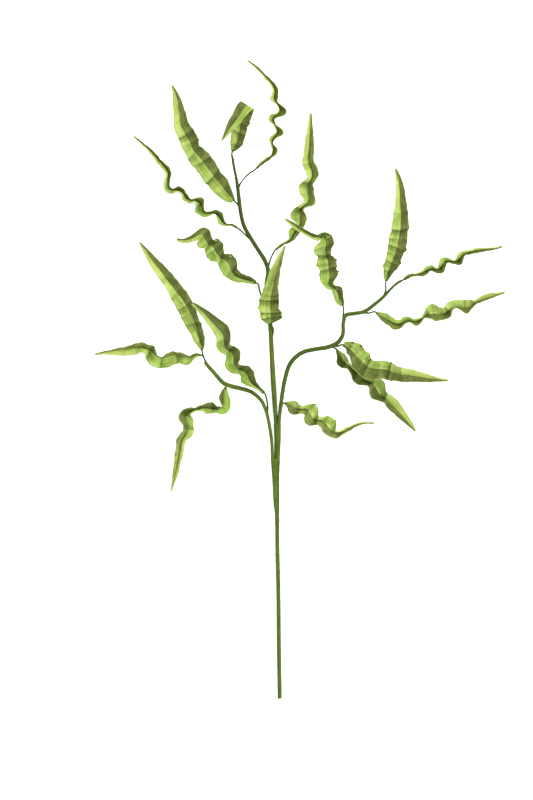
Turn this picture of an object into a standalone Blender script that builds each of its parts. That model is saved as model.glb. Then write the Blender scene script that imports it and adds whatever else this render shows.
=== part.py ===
"""A fern frond spray lying down: three tape-wrapped stems and eighteen folded, crimped leaf blades.

Every route is read off the photograph, whose upright becomes +Y, and lies on the XY plane.
A row gives a place in the photograph's pixels, x to the right and y down, and its height over
the table in millimetres. FROND_LENGTH sets what a pixel measures.
"""

import math

import bmesh
import bpy
import numpy as np

MM = 0.001
FROND_LENGTH = 767.0
TOP_Y = 60.0
FOOT_X = 279.8
FOOT_Y = 698.5
PIXEL = FROND_LENGTH / (FOOT_Y - TOP_Y)

BLADE_THICKNESS = 0.9
BLADE_HALF_WIDTH = 11.5
BLADE_BASE_HALF_WIDTH = 1.4
BLADE_TIP_HALF_WIDTH = 0.5
BASE_TAPER = 22.0
TIP_TAPER = 70.0
BLADE_STEP = 4.0
STEADINESS = 0.5
STEADY_ROWS = 3
INNER_SHARE = 0.6
LEAST_REACH = 0.8
LIFT_PAD = 1
LIFT_BLEND = (1 / 3, 1 / 3, 1 / 3)
FINE_SAMPLES = 24
LEAST_STEPS = 3
SMALL = 1e-6

WIRE_RADIUS = 0.7
SEAT_GAP = 0.7
SEAT_RUN = 2.5
STEM_STEP = 11.0
BRANCH_STEP = 6.5
WIRE_STEP = 4.0
STEM_BEVEL = 2
WIRE_BEVEL = 1

STEM_COLOUR = (0.085, 0.16, 0.03, 1.0)
STEM_ROUGHNESS = 0.7
LEAF_COLOUR = (0.30, 0.45, 0.09, 1.0)
LEAF_ROUGHNESS = 0.6

# Stem routes: x, y, height, radius in millimetres.
MAIN_STEM = (
    (279.8, 698.5, 2.0, 2.05), (278.9, 640, 2.5, 2.05), (278.4, 590, 3.1, 2.05), (277.5, 550, 3.6, 2.05),
    (277.1, 520, 4.0, 2.05), (276.3, 500, 4.4, 2.05), (275.8, 480, 4.7, 2.05), (275.6, 460, 5.1, 2.05),
    (275.5, 440, 5.5, 2.1), (275.3, 420, 6.0, 2.25), (274.7, 403, 6.5, 2.35), (273.2, 380, 7.0, 2.35),
    (271.6, 350, 8.0, 2.1), (270.6, 325, 8.5, 2.1), (267.4, 300, 8.8, 2.0), (266.6, 284, 9.0, 2.0),
    (268.0, 270, 9.0, 1.95), (265.0, 261, 9.0, 1.95), (257.5, 249, 9.4, 1.9), (250.0, 237, 9.4, 1.9),
    (244.0, 226, 9.0, 1.85), (241.3, 213, 9.0, 1.8), (239.6, 200, 9.0, 1.8), (238.0, 187, 9.0, 1.5),
    (236.2, 178, 9.0, 1.1), (234.3, 169, 9.0, 0.75), (232.9, 160, 9.0, 0.7),
)
LEFT_BRANCH = (
    (275.9, 512, 7.3, 0.9), (274.9, 500, 7.8, 1.3), (274.1, 480, 8.2, 1.6), (272.8, 460, 7.9, 1.75),
    (271.6, 440, 7.5, 1.8), (269.0, 424, 7.6, 1.8), (266.0, 411, 7.8, 1.8), (261.5, 401, 8.0, 1.8),
    (251.0, 391.8, 8.2, 1.8), (240.0, 388.3, 8.4, 1.8), (230.0, 385.8, 8.6, 1.8),
    (223.5, 383.0, 8.8, 1.8), (218.5, 378, 9.0, 1.7), (213.0, 371.5, 9.0, 1.6), (208.0, 366, 9.0, 1.5),
    (205.0, 362, 9.0, 1.4),
)
RIGHT_BRANCH = (
    (278.1, 524, 7.1, 0.9), (278.0, 512, 7.5, 1.1), (277.9, 500, 7.8, 1.3), (277.5, 480, 8.3, 1.6),
    (278.1, 460, 8.2, 1.75), (278.9, 440, 7.9, 1.9), (279.0, 423, 8.0, 1.95), (279.6, 414, 8.0, 1.95),
    (281.0, 404, 8.2, 1.95), (282.5, 393, 8.3, 1.95), (285.0, 379, 8.5, 1.95), (290.5, 362, 8.8, 1.9),
    (301.8, 352, 9.0, 1.9), (315.0, 348.7, 9.0, 1.85), (328.6, 346.3, 9.2, 1.85),
    (338.0, 342.3, 9.4, 1.85), (342.6, 335, 9.5, 1.85), (343.3, 323, 9.5, 1.8), (345.5, 315.5, 9.5, 1.7),
    (354.0, 313.0, 9.5, 1.55), (364.0, 311.3, 9.5, 1.5), (375.0, 304.0, 9.5, 1.4),
    (385.0, 295.3, 9.5, 1.2), (390.0, 289.8, 9.4, 0.8), (395.5, 284.5, 9.2, 0.7),
    (400.5, 281.2, 9.0, 0.7),
)

# Leaf wires: the stem each grows from, and its route from inside that stem towards its blade.
WIRES = {
    "leaf_centre_2": ("main_stem", ((238.4, 188, 9.0), (240.5, 183.5, 9.2), (249.5, 173.5, 9.6))),
    "leaf_centre_3": ("main_stem", ((240.5, 208, 9.0), (237.6, 204.5, 9.1))),
    "leaf_centre_4": ("main_stem", ((252.0, 240.5, 9.4), (246.5, 236.0, 9.2), (241.0, 230.8, 9.0))),
    "leaf_centre_5": ("main_stem", ((267.8, 304, 8.8), (262.5, 297.0, 8.8), (259.0, 289.5, 8.9))),
    "leaf_centre_6": ("main_stem", ((271.2, 336, 8.4), (272.6, 331.0, 11.0))),
    "leaf_centre_7": ("main_stem", ((267.9, 269, 9.0), (269.6, 262.0, 9.6), (272.6, 254.5, 10.0))),
    "leaf_left_1": ("left_branch", ((206.2, 363.5, 9.0), (204.2, 358.5, 9.2), (202.7, 354.0, 9.2))),
    "leaf_left_2": ("left_branch", ((206.0, 363.2, 9.0), (204.2, 358.5, 8.8))),
    "leaf_left_3": ("left_branch", ((225.8, 384.3, 8.7),)),
    "leaf_left_4": ("left_branch", ((267.0, 415.0, 7.8), (267.5, 405.0, 9.6), (266.0, 397.0, 10.6))),
    "leaf_right_1": ("right_branch", ((343.4, 319.0, 9.5), (343.3, 312.0, 9.9))),
    "leaf_right_2": ("right_branch", ((383.9, 296.6, 9.5), (385.6, 290.0, 9.4))),
    "leaf_right_4": ("right_branch", ((361.0, 312.0, 9.5), (368.0, 313.2, 9.2))),
    "leaf_right_5": ("right_branch", ((332.5, 345.2, 9.3), (338.0, 346.2, 12.0))),
    "leaf_right_6": ("right_branch", ((328.0, 346.5, 9.2), (332.5, 347.3, 9.6))),
    "leaf_right_7": ("right_branch", ((280.8, 407.5, 8.2),)),
}

# Leaf blades: crease x, y and height, then how far the left and right halves reach from it in plan,
# in pixels. Reaches below nought belong to a stretch that is folded over and shows its back.
LEAVES = {
    "leaf_centre_1": (
        (232.5, 151.5, 9, 1, 1), (234.3, 147, 11, 3.5, 3), (237.3, 141, 15, 6.5, 5),
        (239, 134, 20, 8, 6), (241, 124, 26, 8.5, 7.5), (244.5, 114, 33, 8, 7.5), (248, 105.8, 42, 7, 7),
        (244.5, 108.8, 50, -7.5, -6), (238.2, 118.6, 52, -6.5, -4.5), (232, 126.6, 51, -5, -3.5),
        (226.6, 134.6, 49, -2.5, -2), (222, 141.3, 47, -0.4, -0.4),
    ),
    "leaf_centre_2": (
        (256.7, 168.3, 10, 0.9, 0.9), (261.7, 163.5, 9, 1.6, 1.3), (267.5, 159.3, 8, 1.2, 1),
        (272.5, 155, 8, 1, 1.5), (274, 149.5, 8, 1.3, 3.5), (271.8, 144.5, 8, 1, 1),
        (270.8, 140.2, 9, 1.5, 1), (275, 134.3, 9, 2.4, 1), (278.3, 131.3, 9, 1.4, 4),
        (277.2, 127.5, 10, 1, 1.2), (273.3, 122.7, 10, 1.2, 1.4), (270.4, 118.5, 10, 1.5, 1),
        (274.5, 114.5, 11, 2, 1.2), (279, 112.4, 11, 1.2, 2.6), (280.3, 108.5, 12, 1, 5),
        (277.6, 105, 12, 1, 1.8), (275.2, 101.5, 13, 2.5, 1.4), (274.6, 96.8, 14, 3.5, 3),
        (275, 91, 15, 2.2, 3), (273.3, 85.2, 16, 1.8, 2.2), (268.3, 78.5, 17, 1.5, 1.2),
        (261.7, 71.4, 19, 1.2, 1), (254.2, 64.8, 21, 0.8, 0.8), (247.5, 61, 23, 0.3, 0.3),
    ),
    "leaf_centre_3": (
        (234, 200.5, 9, 1, 1), (232, 198.3, 9, 3.5, 2.5), (228.3, 194.3, 9, 6.7, 5),
        (221.7, 186, 8, 9.2, 8.5), (213.3, 175.2, 5, 10, 8), (208.5, 169, 8, 9.8, 9),
        (202.5, 161, 5, 10, 8.6), (196.7, 154.3, 8.5, 9.5, 8.5), (191.7, 148.5, 6, 7.2, 8),
        (189.6, 141.8, 9, 9, 8.7), (185.8, 135.2, 6, 7.3, 9), (180.8, 126.8, 9, 6, 8.3),
        (179.2, 115.2, 11, 5, 6.7), (177.5, 102.7, 14, 4.6, 4.3), (175, 93, 16, 2.2, 2.4),
        (172, 85.5, 18, 0.3, 0.3),
    ),
    "leaf_centre_4": (
        (236.7, 227.7, 8.5, 0.9, 0.9), (232.5, 225.6, 7, 0.9, 1.4), (227.5, 224.8, 5.5, 0.8, 0.9),
        (223.8, 223.8, 4.5, 1.5, 1), (220.8, 220.2, 4, 3, 4), (218.8, 215.5, 3.5, 2, 5),
        (215.5, 212.2, 3, 0.9, 1.6), (210.5, 213.2, 2.5, 1.4, 2.6), (206, 214, 2, 1.2, 1),
        (203.3, 212, 1.5, 2.8, 1), (201.3, 206.8, 1, 6, 2.4), (199.6, 201.6, 1, 4, 3.4),
        (196, 199.9, 1, 1.4, 0.9), (192, 200.8, 1, 1.2, 1.1), (188.9, 200, 1, 1.8, 1),
        (186.7, 196.6, 0.8, 4, 3), (184.4, 193, 0.6, 2, 2.2), (181, 190.9, 0.6, 1, 1.6),
        (176.3, 190.2, 0.4, 1.8, 4.2), (171.8, 191, 0.6, 1.5, 1.2), (168.8, 188.6, 0.8, 3.4, 0.9),
        (167.9, 184.3, 1, 3.2, 1.2), (167.9, 178.5, 1.5, 2.2, 2), (168.3, 172.7, 2, 2.2, 2.6),
        (165, 166, 3, 1.8, 2.4), (158.3, 157.7, 4.5, 1.6, 1.6), (150.8, 149.3, 6.5, 1.4, 1),
        (143.3, 143.5, 8.5, 0.8, 0.7), (133.8, 136.4, 11, 0.3, 0.3),
    ),
    "leaf_centre_5": (
        (256, 283, 9, 0.9, 0.9), (252, 281.5, 9.5, 1.5, 2.5), (246, 280, 10, 2.2, 3.5),
        (240, 278, 11, 4, 4.2), (234.5, 275, 13, 5, 4.5), (231, 270.5, 16, 7.5, 7),
        (228.5, 264.5, 19, 9, 8.5), (225.2, 259.8, 19, 8, 6), (221.3, 258, 14, 5, 4),
        (217.8, 255.5, 17, 7, 7), (214.8, 250.5, 21, 9.5, 9.5), (212, 246.3, 21, 8, 8),
        (208.6, 244.2, 17, 5, 4.5), (205.3, 241.5, 20, 8, 7), (203.2, 236.3, 25, 7, 7),
        (201.5, 232.8, 29, 5, 5), (196.5, 235, 30, 3, 3.2), (190.5, 238.3, 29, 1.6, 3),
        (184, 240.3, 28, 1.5, 1.3), (177, 239.5, 29, 0.3, 0.3),
    ),
    "leaf_centre_6": (
        (271.2, 323, 13, 1.2, 1.2), (270.6, 320, 15, 6, 6.5), (270.3, 317, 19, 9.5, 11),
        (270, 313.2, 16, 9, 10.5), (270, 307, 21, 11, 8.8), (270, 301.3, 17, 9.5, 8.5),
        (270.6, 297.5, 21, 9, 8.3), (272.5, 290, 29, 8.5, 6), (275, 278, 40, 7, 4.2),
        (278.5, 266, 51, 5.3, 2.8), (282, 255, 61, 2.6, 1.6), (284.8, 246.5, 69, 0.3, 0.3),
    ),
    "leaf_centre_7": (
        (276.3, 249.2, 10, 0.9, 0.9), (281, 245.5, 8.5, 1.4, 1), (287, 242.5, 7, 0.9, 1),
        (291.2, 239, 5, 2, 1.5), (294.5, 233.5, 4, 6, 4.5), (297.5, 229, 3, 3, 3),
        (300.3, 225.3, 2.5, 2.5, 3), (300.8, 221, 2, 7, 4.5), (299.8, 216.5, 2, 9.5, 6.5),
        (298.7, 211.5, 2, 6.5, 6.5), (300.3, 207.6, 2, 2, 2), (304.5, 205.6, 1.5, 2, 1.5),
        (308.5, 203.5, 1, 4, 4), (309.4, 198.5, 0.7, 5.5, 5.5), (307.3, 192.5, 0.4, 7.2, 6),
        (307, 187.5, 0.6, 7.5, 6.5), (309.5, 182.5, 1, 4.5, 3.5), (312, 179, 1.2, 2.8, 3),
        (312.8, 174.5, 1.5, 5, 6), (311.8, 170, 2, 6.3, 6.5), (309.8, 165.5, 2.5, 6.3, 5.8),
        (309, 160, 3, 5.5, 4.6), (309.5, 148, 4, 4.5, 4.3), (310, 135, 6, 3.3, 3),
        (310.3, 123, 8, 1.7, 1.7), (310.6, 113.5, 10, 0.3, 0.3),
    ),
    "leaf_left_1": (
        (202, 350, 9, 1, 1), (201.3, 346, 9, 2.8, 3), (200, 341, 8, 5, 4.7), (198, 332.5, 11, 7, 5),
        (195.5, 323.5, 7, 9, 5), (191, 314, 11, 9.5, 6), (187, 306, 7, 9.5, 6.5), (182, 299, 11, 9, 7.5),
        (177, 293, 8, 7, 8), (172, 286, 11, 6, 7.5), (166, 278, 10, 5.5, 7), (160, 270, 11, 5.5, 6),
        (154, 263, 12, 4.3, 5), (147, 253, 13, 2.7, 3.2), (139.5, 242.5, 15, 0.3, 0.3),
    ),
    "leaf_left_2": (
        (200.6, 355.2, 8.5, 0.9, 0.9), (196.5, 354.3, 7.5, 2.5, 1), (192, 356.5, 6.5, 4, 1),
        (188, 357.8, 5.5, 7, 1.5), (183, 356, 4.5, 8, 2.8), (177, 354.8, 3.5, 7.5, 2.3),
        (171, 355, 3, 10, 2.3), (166, 357.5, 2.5, 9.5, 3), (161.5, 359.3, 2, 8, 1.2),
        (157, 358.3, 1.6, 8.5, 1.5), (154, 354.5, 1.4, 9, 3), (151, 350.5, 1.4, 8.5, 4),
        (147.5, 347.8, 1.4, 5, 2), (143, 347.2, 1.6, 4.5, 3.5), (137, 347.7, 2, 6, 4.3),
        (130, 348.8, 2.6, 6.5, 3.2), (120, 350, 4, 5.3, 2), (110, 351.3, 6, 3.5, 1.2),
        (102, 353, 8, 1.5, 1), (95, 354.5, 10, 0.3, 0.3),
    ),
    "leaf_left_3": (
        (225.6, 387.6, 8.5, 0.9, 0.9), (224, 391.5, 8, 3.5, 2.2), (223, 396.5, 7.5, 6, 3),
        (224, 401, 7, 6.5, 4), (225.3, 405, 6.5, 4, 3), (224, 408.6, 6, 2, 1.6),
        (220.5, 409.8, 6, 2.8, 2.8), (216, 409.8, 5.5, 1.5, 3.2), (211.5, 408.8, 5, 4, 6.2),
        (206.5, 407.8, 4.5, 5.5, 4.5), (202.5, 407.5, 4, 2.5, 1.5), (198, 409, 3.5, 1.8, 1.4),
        (193.5, 410.3, 3, 1.5, 1.5), (189, 411.2, 2.5, 2.5, 2), (186.2, 413.7, 2, 5, 4),
        (185.5, 418, 1.6, 7.3, 6.5), (186.4, 423.2, 1.2, 6.6, 3.8), (187.5, 428.3, 1, 6, 3.5),
        (186.4, 432.8, 0.8, 6.3, 3.7), (183.2, 437, 0.7, 5, 4.6), (181.3, 443, 0.6, 3.8, 4.8),
        (179.3, 453, 0.5, 4, 4), (177.3, 464, 0.4, 3.2, 3.2), (175, 475, 0.6, 2.6, 2.5),
        (173, 484, 1.2, 1.2, 1.2), (171.3, 491, 2, 0.3, 0.3),
    ),
    "leaf_left_4": (
        (264, 393, 11, 0.9, 0.9), (260, 389.5, 11.8, 1.1, 1.1), (255.5, 386.3, 12, 1.6, 2.5),
        (250.8, 382.5, 12, 4, 5.5), (247.8, 377, 12, 7.3, 6.5), (245.8, 372.3, 12, 6, 6),
        (242, 369.7, 12, 4, 4), (237.6, 369, 12, 4, 3), (234.3, 366.8, 12, 6, 4),
        (233, 362.5, 12, 7.5, 6), (233.4, 357.5, 12, 7.3, 6.8), (232, 353, 12, 5.5, 7.5),
        (228.8, 350.5, 12, 4, 5), (225.4, 347.8, 12, 6, 4), (223.6, 343.5, 12.5, 7, 6.5),
        (223.4, 338.5, 13, 5.8, 6.8), (222, 333, 14, 5.8, 7.8), (218, 327.5, 15, 4.5, 8),
        (212.5, 321, 17, 3.5, 6.5), (206, 314, 19, 2.5, 4.8), (199.5, 308.5, 22, 1.5, 2.8),
        (192.5, 303.5, 25, 0.3, 0.3),
    ),
    "leaf_right_1": (
        (342.8, 306, 10, 0.9, 0.9), (341.3, 301.5, 10, 4.3, 2.2), (339.3, 296, 11, 4.5, 3.6),
        (337, 291, 14, 4.2, 4.6), (334.3, 288.3, 17, 1.8, 2.4), (331.2, 287.3, 15, 2, 1.6),
        (328.8, 284, 16, 4.5, 4), (328.8, 278, 20, 8.5, 7.5), (329.2, 272.8, 22, 9.5, 8.3),
        (328.9, 269, 17, 8.5, 6.5), (328.3, 264.3, 21, 11, 8), (327.3, 259.8, 23, 9.3, 8),
        (325.9, 255.6, 18, 7, 4.8), (325.1, 250.3, 22, 10.3, 6), (325.3, 244.5, 27, 10, 8.3),
        (325, 239.5, 31, 6.5, 6.5), (322.5, 236.2, 34, 3.5, 4.5), (318, 237, 34, 2.2, 2.2),
        (313, 236.4, 32, 1.8, 1.8), (308, 233.5, 30, 1.9, 1.9), (302, 229.8, 28, 2, 2),
        (296, 226.4, 28, 2, 2), (290, 223, 29, 1.3, 1.3), (285, 219.5, 31, 0.3, 0.3),
    ),
    "leaf_right_2": (
        (386, 281, 9, 1, 1), (386.7, 277, 9, 3, 3), (388.5, 271.5, 8, 5, 4.5),
        (391, 265, 10.5, 6.5, 7.5), (392.3, 261, 7, 6.3, 7), (394.6, 254.8, 10.5, 7.5, 7.5),
        (396.8, 248, 7, 8, 8), (398.3, 240, 10.5, 9, 8.3), (400, 231, 7, 7.8, 7.6),
        (400.6, 220, 10, 7.5, 7.5), (400.3, 204, 11, 5, 6), (399.3, 190, 12, 3.2, 4.9),
        (397.7, 178, 14, 2, 3), (395.2, 168.5, 16, 0.3, 0.3),
    ),
    "leaf_right_3": (
        (404, 279.3, 9, 0.9, 0.9), (410, 275.8, 9, 1.7, 1.2), (416, 274.9, 8.5, 0.9, 0.9),
        (420, 274, 8.5, 1.3, 1.4), (423.5, 272.3, 8, 1.7, 3.4), (426.3, 270, 8, 1.3, 2.2),
        (429.5, 269.2, 8, 1.8, 1), (433, 269.6, 8, 3.7, 1.6), (436.5, 270.8, 8, 2, 1),
        (440, 269.8, 8, 2.2, 1.2), (443, 265.7, 8, 4.4, 2.2), (444.8, 261.7, 8, 3.2, 1.8),
        (448, 260.4, 8, 1, 1), (452, 261.8, 8, 1.5, 1.6), (456, 262, 8, 1, 1.2),
        (459.2, 260.8, 8, 3, 2.3), (461.4, 257.2, 8, 4, 2), (463.8, 253.9, 8.5, 2.4, 1.4),
        (468, 252.3, 9, 1.3, 1), (474, 250.8, 10, 1.8, 1.7), (481, 249.5, 11, 1.6, 1.6),
        (489, 248.8, 12, 0.9, 0.9), (496, 248.4, 13, 0.7, 0.7), (502, 246.2, 14, 0.3, 0.3),
    ),
    "leaf_right_4": (
        (376.5, 313, 9, 0.9, 0.9), (383, 318, 7.5, 4.5, 1.8), (390, 322.3, 5.5, 5, 2.8),
        (396, 325.1, 4, 4.2, 4.3), (401, 324.4, 2.5, 4, 3), (404.7, 321.8, 2, 4, 1.3),
        (408.5, 320.7, 1.6, 3.6, 1.2), (412, 321.6, 1.4, 2.5, 2), (416, 321.9, 1.2, 2.2, 3.3),
        (420, 319.8, 1, 1.2, 3), (424.5, 316.4, 0.8, 2.4, 1.7), (429, 314.1, 0.6, 6, 4.5),
        (434, 313.2, 0.4, 8.8, 7.3), (440, 314.2, 0.6, 6.2, 5.5), (446, 313.9, 0.8, 6, 5),
        (449.5, 311, 1, 6, 2.5), (451.5, 307.6, 1.2, 5.6, 1.5), (455.5, 306.3, 1.5, 5.8, 1.1),
        (460.3, 307.2, 2, 6.6, 2.2), (465.5, 308.3, 2.5, 8, 5.3), (470.2, 307, 3, 6.5, 2),
        (475, 303.6, 4, 3.2, 1.2), (480, 301, 5, 3, 1.4), (488, 298.1, 6.5, 3, 2),
        (496, 295.7, 8.5, 2, 1.5), (505, 293, 11, 0.3, 0.3),
    ),
    "leaf_right_5": (
        (343.2, 345.2, 14.5, 1, 1), (346.5, 345.7, 16, 3, 2), (350, 348.8, 18, 5.5, 4.5),
        (353.3, 352.6, 21, 8.5, 5.5), (358.5, 358, 25, 9.5, 9.3), (363.6, 362.7, 24, 9.5, 10.5),
        (367.3, 366, 19, 7, 11), (372, 368, 23, 6.8, 10.8), (379.5, 368.8, 26, 7.6, 10),
        (386, 369.2, 25, 7.8, 9.6), (389.5, 370.3, 20, 6.5, 9.6), (394, 372.3, 24, 6.3, 8),
        (401, 374.4, 26, 6.4, 7.2), (412, 376, 28, 5.8, 5.8), (425, 378, 31, 4.3, 4),
        (437, 379.5, 34, 2, 2.2), (448, 380.5, 37, 0.3, 0.3),
    ),
    "leaf_right_6": (
        (336.8, 350.2, 8.5, 0.9, 0.9), (339.7, 355, 6, 3.3, 3), (342.5, 360, 4, 4.6, 5.2),
        (345.3, 363.5, 3, 3.5, 5), (348.8, 366, 2, 1.6, 1.8), (352.5, 369, 1.5, 2, 4),
        (356.7, 372.7, 1, 2.4, 7), (361, 376.5, 0.6, 2.4, 7.5), (365, 379.7, 0.4, 2.5, 5.5),
        (369.3, 381.8, 0.4, 2.3, 2.6), (373.3, 383.8, 0.6, 5, 4.5), (376.4, 388.5, 0.8, 8.7, 7.7),
        (379.4, 393.8, 1, 7.3, 8.2), (382.7, 397.9, 1, 4, 3.8), (386.4, 400, 1.2, 4, 2.8),
        (390.3, 403.2, 1.6, 5.8, 4.4), (396, 409, 2.5, 5.7, 4.3), (402.5, 416, 4, 4.8, 3.8),
        (409.5, 424, 6, 3, 2.2), (415.5, 431, 8, 0.3, 0.3),
    ),
    "leaf_right_7": (
        (285.2, 403.3, 9, 0.9, 0.9), (288.5, 403.5, 10, 1.5, 3.5), (291.7, 405.2, 13, 4, 7.5),
        (295.3, 408, 14, 5.3, 6.8), (299.5, 409.8, 10, 3.8, 2.8), (303.8, 409.4, 9, 2.5, 2),
        (307.8, 409.6, 11, 3.5, 4), (310.3, 412.3, 15, 7.5, 8), (312.2, 416.5, 17, 8, 8.5),
        (314.4, 419.6, 13, 6, 7.5), (317.8, 420.8, 10, 3, 3.5), (321.7, 421.2, 11, 3, 4.2),
        (325.6, 423, 14, 6.3, 6.8), (328.5, 427, 17, 8, 8), (331.3, 431.2, 17, 6.8, 6.2),
        (334.4, 433.9, 14, 3, 3.2), (338.3, 433.6, 12, 1.9, 2.2), (344, 431, 11, 2, 2.2),
        (350, 427.8, 11, 1.8, 1.8), (356, 424.8, 12, 1.4, 1.4), (363, 423.1, 13, 0.9, 0.9),
        (374, 423, 15, 0.3, 0.3),
    ),
}


def clear_scene():
    """Remove whatever the file opened with."""
    for thing in list(bpy.data.objects):
        bpy.data.objects.remove(thing, do_unlink=True)


def make_material(name, colour, roughness):
    """A plain finish of one colour."""
    material = bpy.data.materials.new(name)
    material.use_nodes = True
    shader = material.node_tree.nodes["Principled BSDF"]
    shader.inputs["Base Color"].default_value = colour
    shader.inputs["Roughness"].default_value = roughness
    shader.inputs["Metallic"].default_value = 0.0
    return material


def to_table(rows):
    """Rows from the photograph, with their x, y and height as millimetres on the table."""
    table = np.array(rows, dtype=float)
    table[:, 0] = (table[:, 0] - FOOT_X) * PIXEL
    table[:, 1] = (FOOT_Y - table[:, 1]) * PIXEL
    return table


def smooth_rows(rows, step):
    """Rows on the smooth curve through the given rows, about a step apart along it."""
    chord = np.concatenate(([0.0], np.cumsum(np.linalg.norm(np.diff(rows[:, :3], axis=0), axis=1))))
    slope = np.gradient(rows, chord, axis=0)
    at = np.linspace(0.0, chord[-1], FINE_SAMPLES * len(rows))
    left = np.clip(np.searchsorted(chord, at, side="right") - 1, 0, len(rows) - 2)
    span = (chord[left + 1] - chord[left])[:, None]
    part = (at - chord[left])[:, None] / span
    fine = (
        (2 * part**3 - 3 * part**2 + 1) * rows[left]
        + (part**3 - 2 * part**2 + part) * span * slope[left]
        + (3 * part**2 - 2 * part**3) * rows[left + 1]
        + (part**3 - part**2) * span * slope[left + 1]
    )
    length = np.concatenate(([0.0], np.cumsum(np.linalg.norm(np.diff(fine[:, :3], axis=0), axis=1))))
    even = np.linspace(0.0, length[-1], max(LEAST_STEPS, round(length[-1] / step)) + 1)
    columns = [np.interp(even, length, fine[:, column]) for column in range(rows.shape[1])]
    return even, np.stack(columns, axis=1)


def unit(vectors):
    """Each row of a list of vectors, one long."""
    return vectors / np.maximum(np.linalg.norm(vectors, axis=1, keepdims=True), SMALL)


def leftward(table, face):
    """For each row of a blade, the level direction from its crease to its left edge."""
    run = unit(np.diff(table[:, :2], axis=0)) * face[1:, None]
    near = np.zeros((len(table), 2))
    wide = np.zeros((len(table), 2))
    for row in range(len(table)):
        near[row] = run[max(0, row - 1):row + 1].sum(axis=0)
        wide[row] = run[max(0, row - STEADY_ROWS):row + STEADY_ROWS].sum(axis=0)
    heading = unit((1 - STEADINESS) * unit(near) + STEADINESS * unit(wide))
    return np.stack([-heading[:, 1], heading[:, 0]], axis=1)


def blade_half_width(along, length):
    """Half the width of the flat blade at distances along it: a short foot, then a long point."""
    widths = []
    for end_width, reach, taper in (
        (BLADE_BASE_HALF_WIDTH, along, BASE_TAPER),
        (BLADE_TIP_HALF_WIDTH, length - along, TIP_TAPER),
    ):
        swell = np.sin(np.clip(reach / taper, 0.0, 1.0) * math.pi / 2)
        widths.append(end_width + (BLADE_HALF_WIDTH - end_width) * swell)
    return np.minimum(*widths)


def bend_limits(level, face, along, side):
    """How far one side of a blade may reach at each row, so that no bend folds it over itself."""
    turn = level[:-1, 0] * level[1:, 1] - level[:-1, 1] * level[1:, 0]
    inward = np.maximum(turn * np.sign(face[1:]) * side, SMALL)
    limit = INNER_SHARE * np.diff(along) / inward
    return np.minimum(np.append(limit, limit[-1]), np.append(limit[0], limit))


def blade_lines(rows, step):
    """A blade's left edge, crease and right edge, as three lists of points in millimetres."""
    table = to_table(rows)
    face = np.where(table[:, 3] + table[:, 4] < 0, -1.0, 1.0)
    lift = np.convolve(np.pad(face, LIFT_PAD, mode="edge"), LIFT_BLEND, mode="valid")
    reach = np.abs(table[:, 3:5]) * PIXEL
    full = np.column_stack([table[:, :3], reach, lift, leftward(table, face)])
    along, full = smooth_rows(full, step)
    half = blade_half_width(along, along[-1])
    level = unit(full[:, 6:8])
    crease = full[:, :3]
    edges = []
    for side, reach in ((1.0, full[:, 3]), (-1.0, full[:, 4])):
        reach = np.maximum(np.minimum(reach, bend_limits(level, full[:, 5], along, side)), LEAST_REACH)
        rise = half * np.cos(np.clip(reach / half, 0.0, 1.0) * math.pi / 2) * full[:, 5]
        edges.append(crease + np.column_stack([level * (side * reach)[:, None], rise]))
    return edges[0], crease, edges[1]


def finished_mesh(thing, name):
    """A mesh of an object as its modifiers leave it."""
    depsgraph = bpy.context.evaluated_depsgraph_get()
    mesh = bpy.data.meshes.new_from_object(thing.evaluated_get(depsgraph))
    mesh.name = name
    return mesh


def add_object(name, mesh, material):
    """A named object in the scene, with its mesh and material."""
    mesh.materials.clear()
    mesh.materials.append(material)
    thing = bpy.data.objects.new(name, mesh)
    bpy.context.scene.collection.objects.link(thing)
    return thing


def make_blade(name, rows, material):
    """A leaf: a strip creased along its middle and waved along its length, with a wall."""
    lines = blade_lines(rows, BLADE_STEP)
    count = len(lines[0]) - 1
    shape = bmesh.new()
    bmesh.ops.create_grid(shape, x_segments=2, y_segments=count, size=1.0)
    left_half = [face for face in shape.faces if face.calc_center_median().x > 0]
    right_half = [face for face in shape.faces if face.calc_center_median().x < 0]
    for vertex in shape.verts:
        line = lines[round(1 - vertex.co.x)]
        vertex.co = line[round((vertex.co.y + 1) / 2 * count)] * MM
    bmesh.ops.triangulate(shape, faces=left_half, quad_method="FIXED")
    bmesh.ops.triangulate(shape, faces=right_half, quad_method="ALTERNATE")
    bmesh.ops.recalc_face_normals(shape, faces=shape.faces[:])
    flat = bpy.data.meshes.new(name)
    shape.to_mesh(flat)
    shape.free()
    sheet = add_object(name, flat, material)
    wall = sheet.modifiers.new("wall", "SOLIDIFY")
    wall.thickness = BLADE_THICKNESS * MM
    wall.offset = 0.0
    wall.use_quality_normals = True
    sheet.data = finished_mesh(sheet, name)
    sheet.modifiers.clear()
    bpy.data.meshes.remove(flat)
    for vertex in sheet.data.vertices:
        vertex.co.z = max(vertex.co.z, 0.0)
    return sheet


def make_rod(name, table, step, bevel, material):
    """A round rod along a route of x, y, height and radius, with closed ends."""
    points = smooth_rows(table, step)[1]
    curve = bpy.data.curves.new(name, "CURVE")
    curve.dimensions = "3D"
    curve.bevel_depth = MM
    curve.bevel_resolution = bevel
    curve.use_fill_caps = True
    spline = curve.splines.new("POLY")
    spline.points.add(len(points) - 1)
    for spot, (x, y, z, radius) in zip(spline.points, points):
        spot.co = (x * MM, y * MM, z * MM, 1.0)
        spot.radius = radius
    path = bpy.data.objects.new(name, curve)
    bpy.context.scene.collection.objects.link(path)
    mesh = finished_mesh(path, name)
    bpy.data.objects.remove(path)
    bpy.data.curves.remove(curve)
    for vertex in mesh.vertices:
        vertex.co.z = max(vertex.co.z, 0.0)
    return add_object(name, mesh, material)


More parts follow.
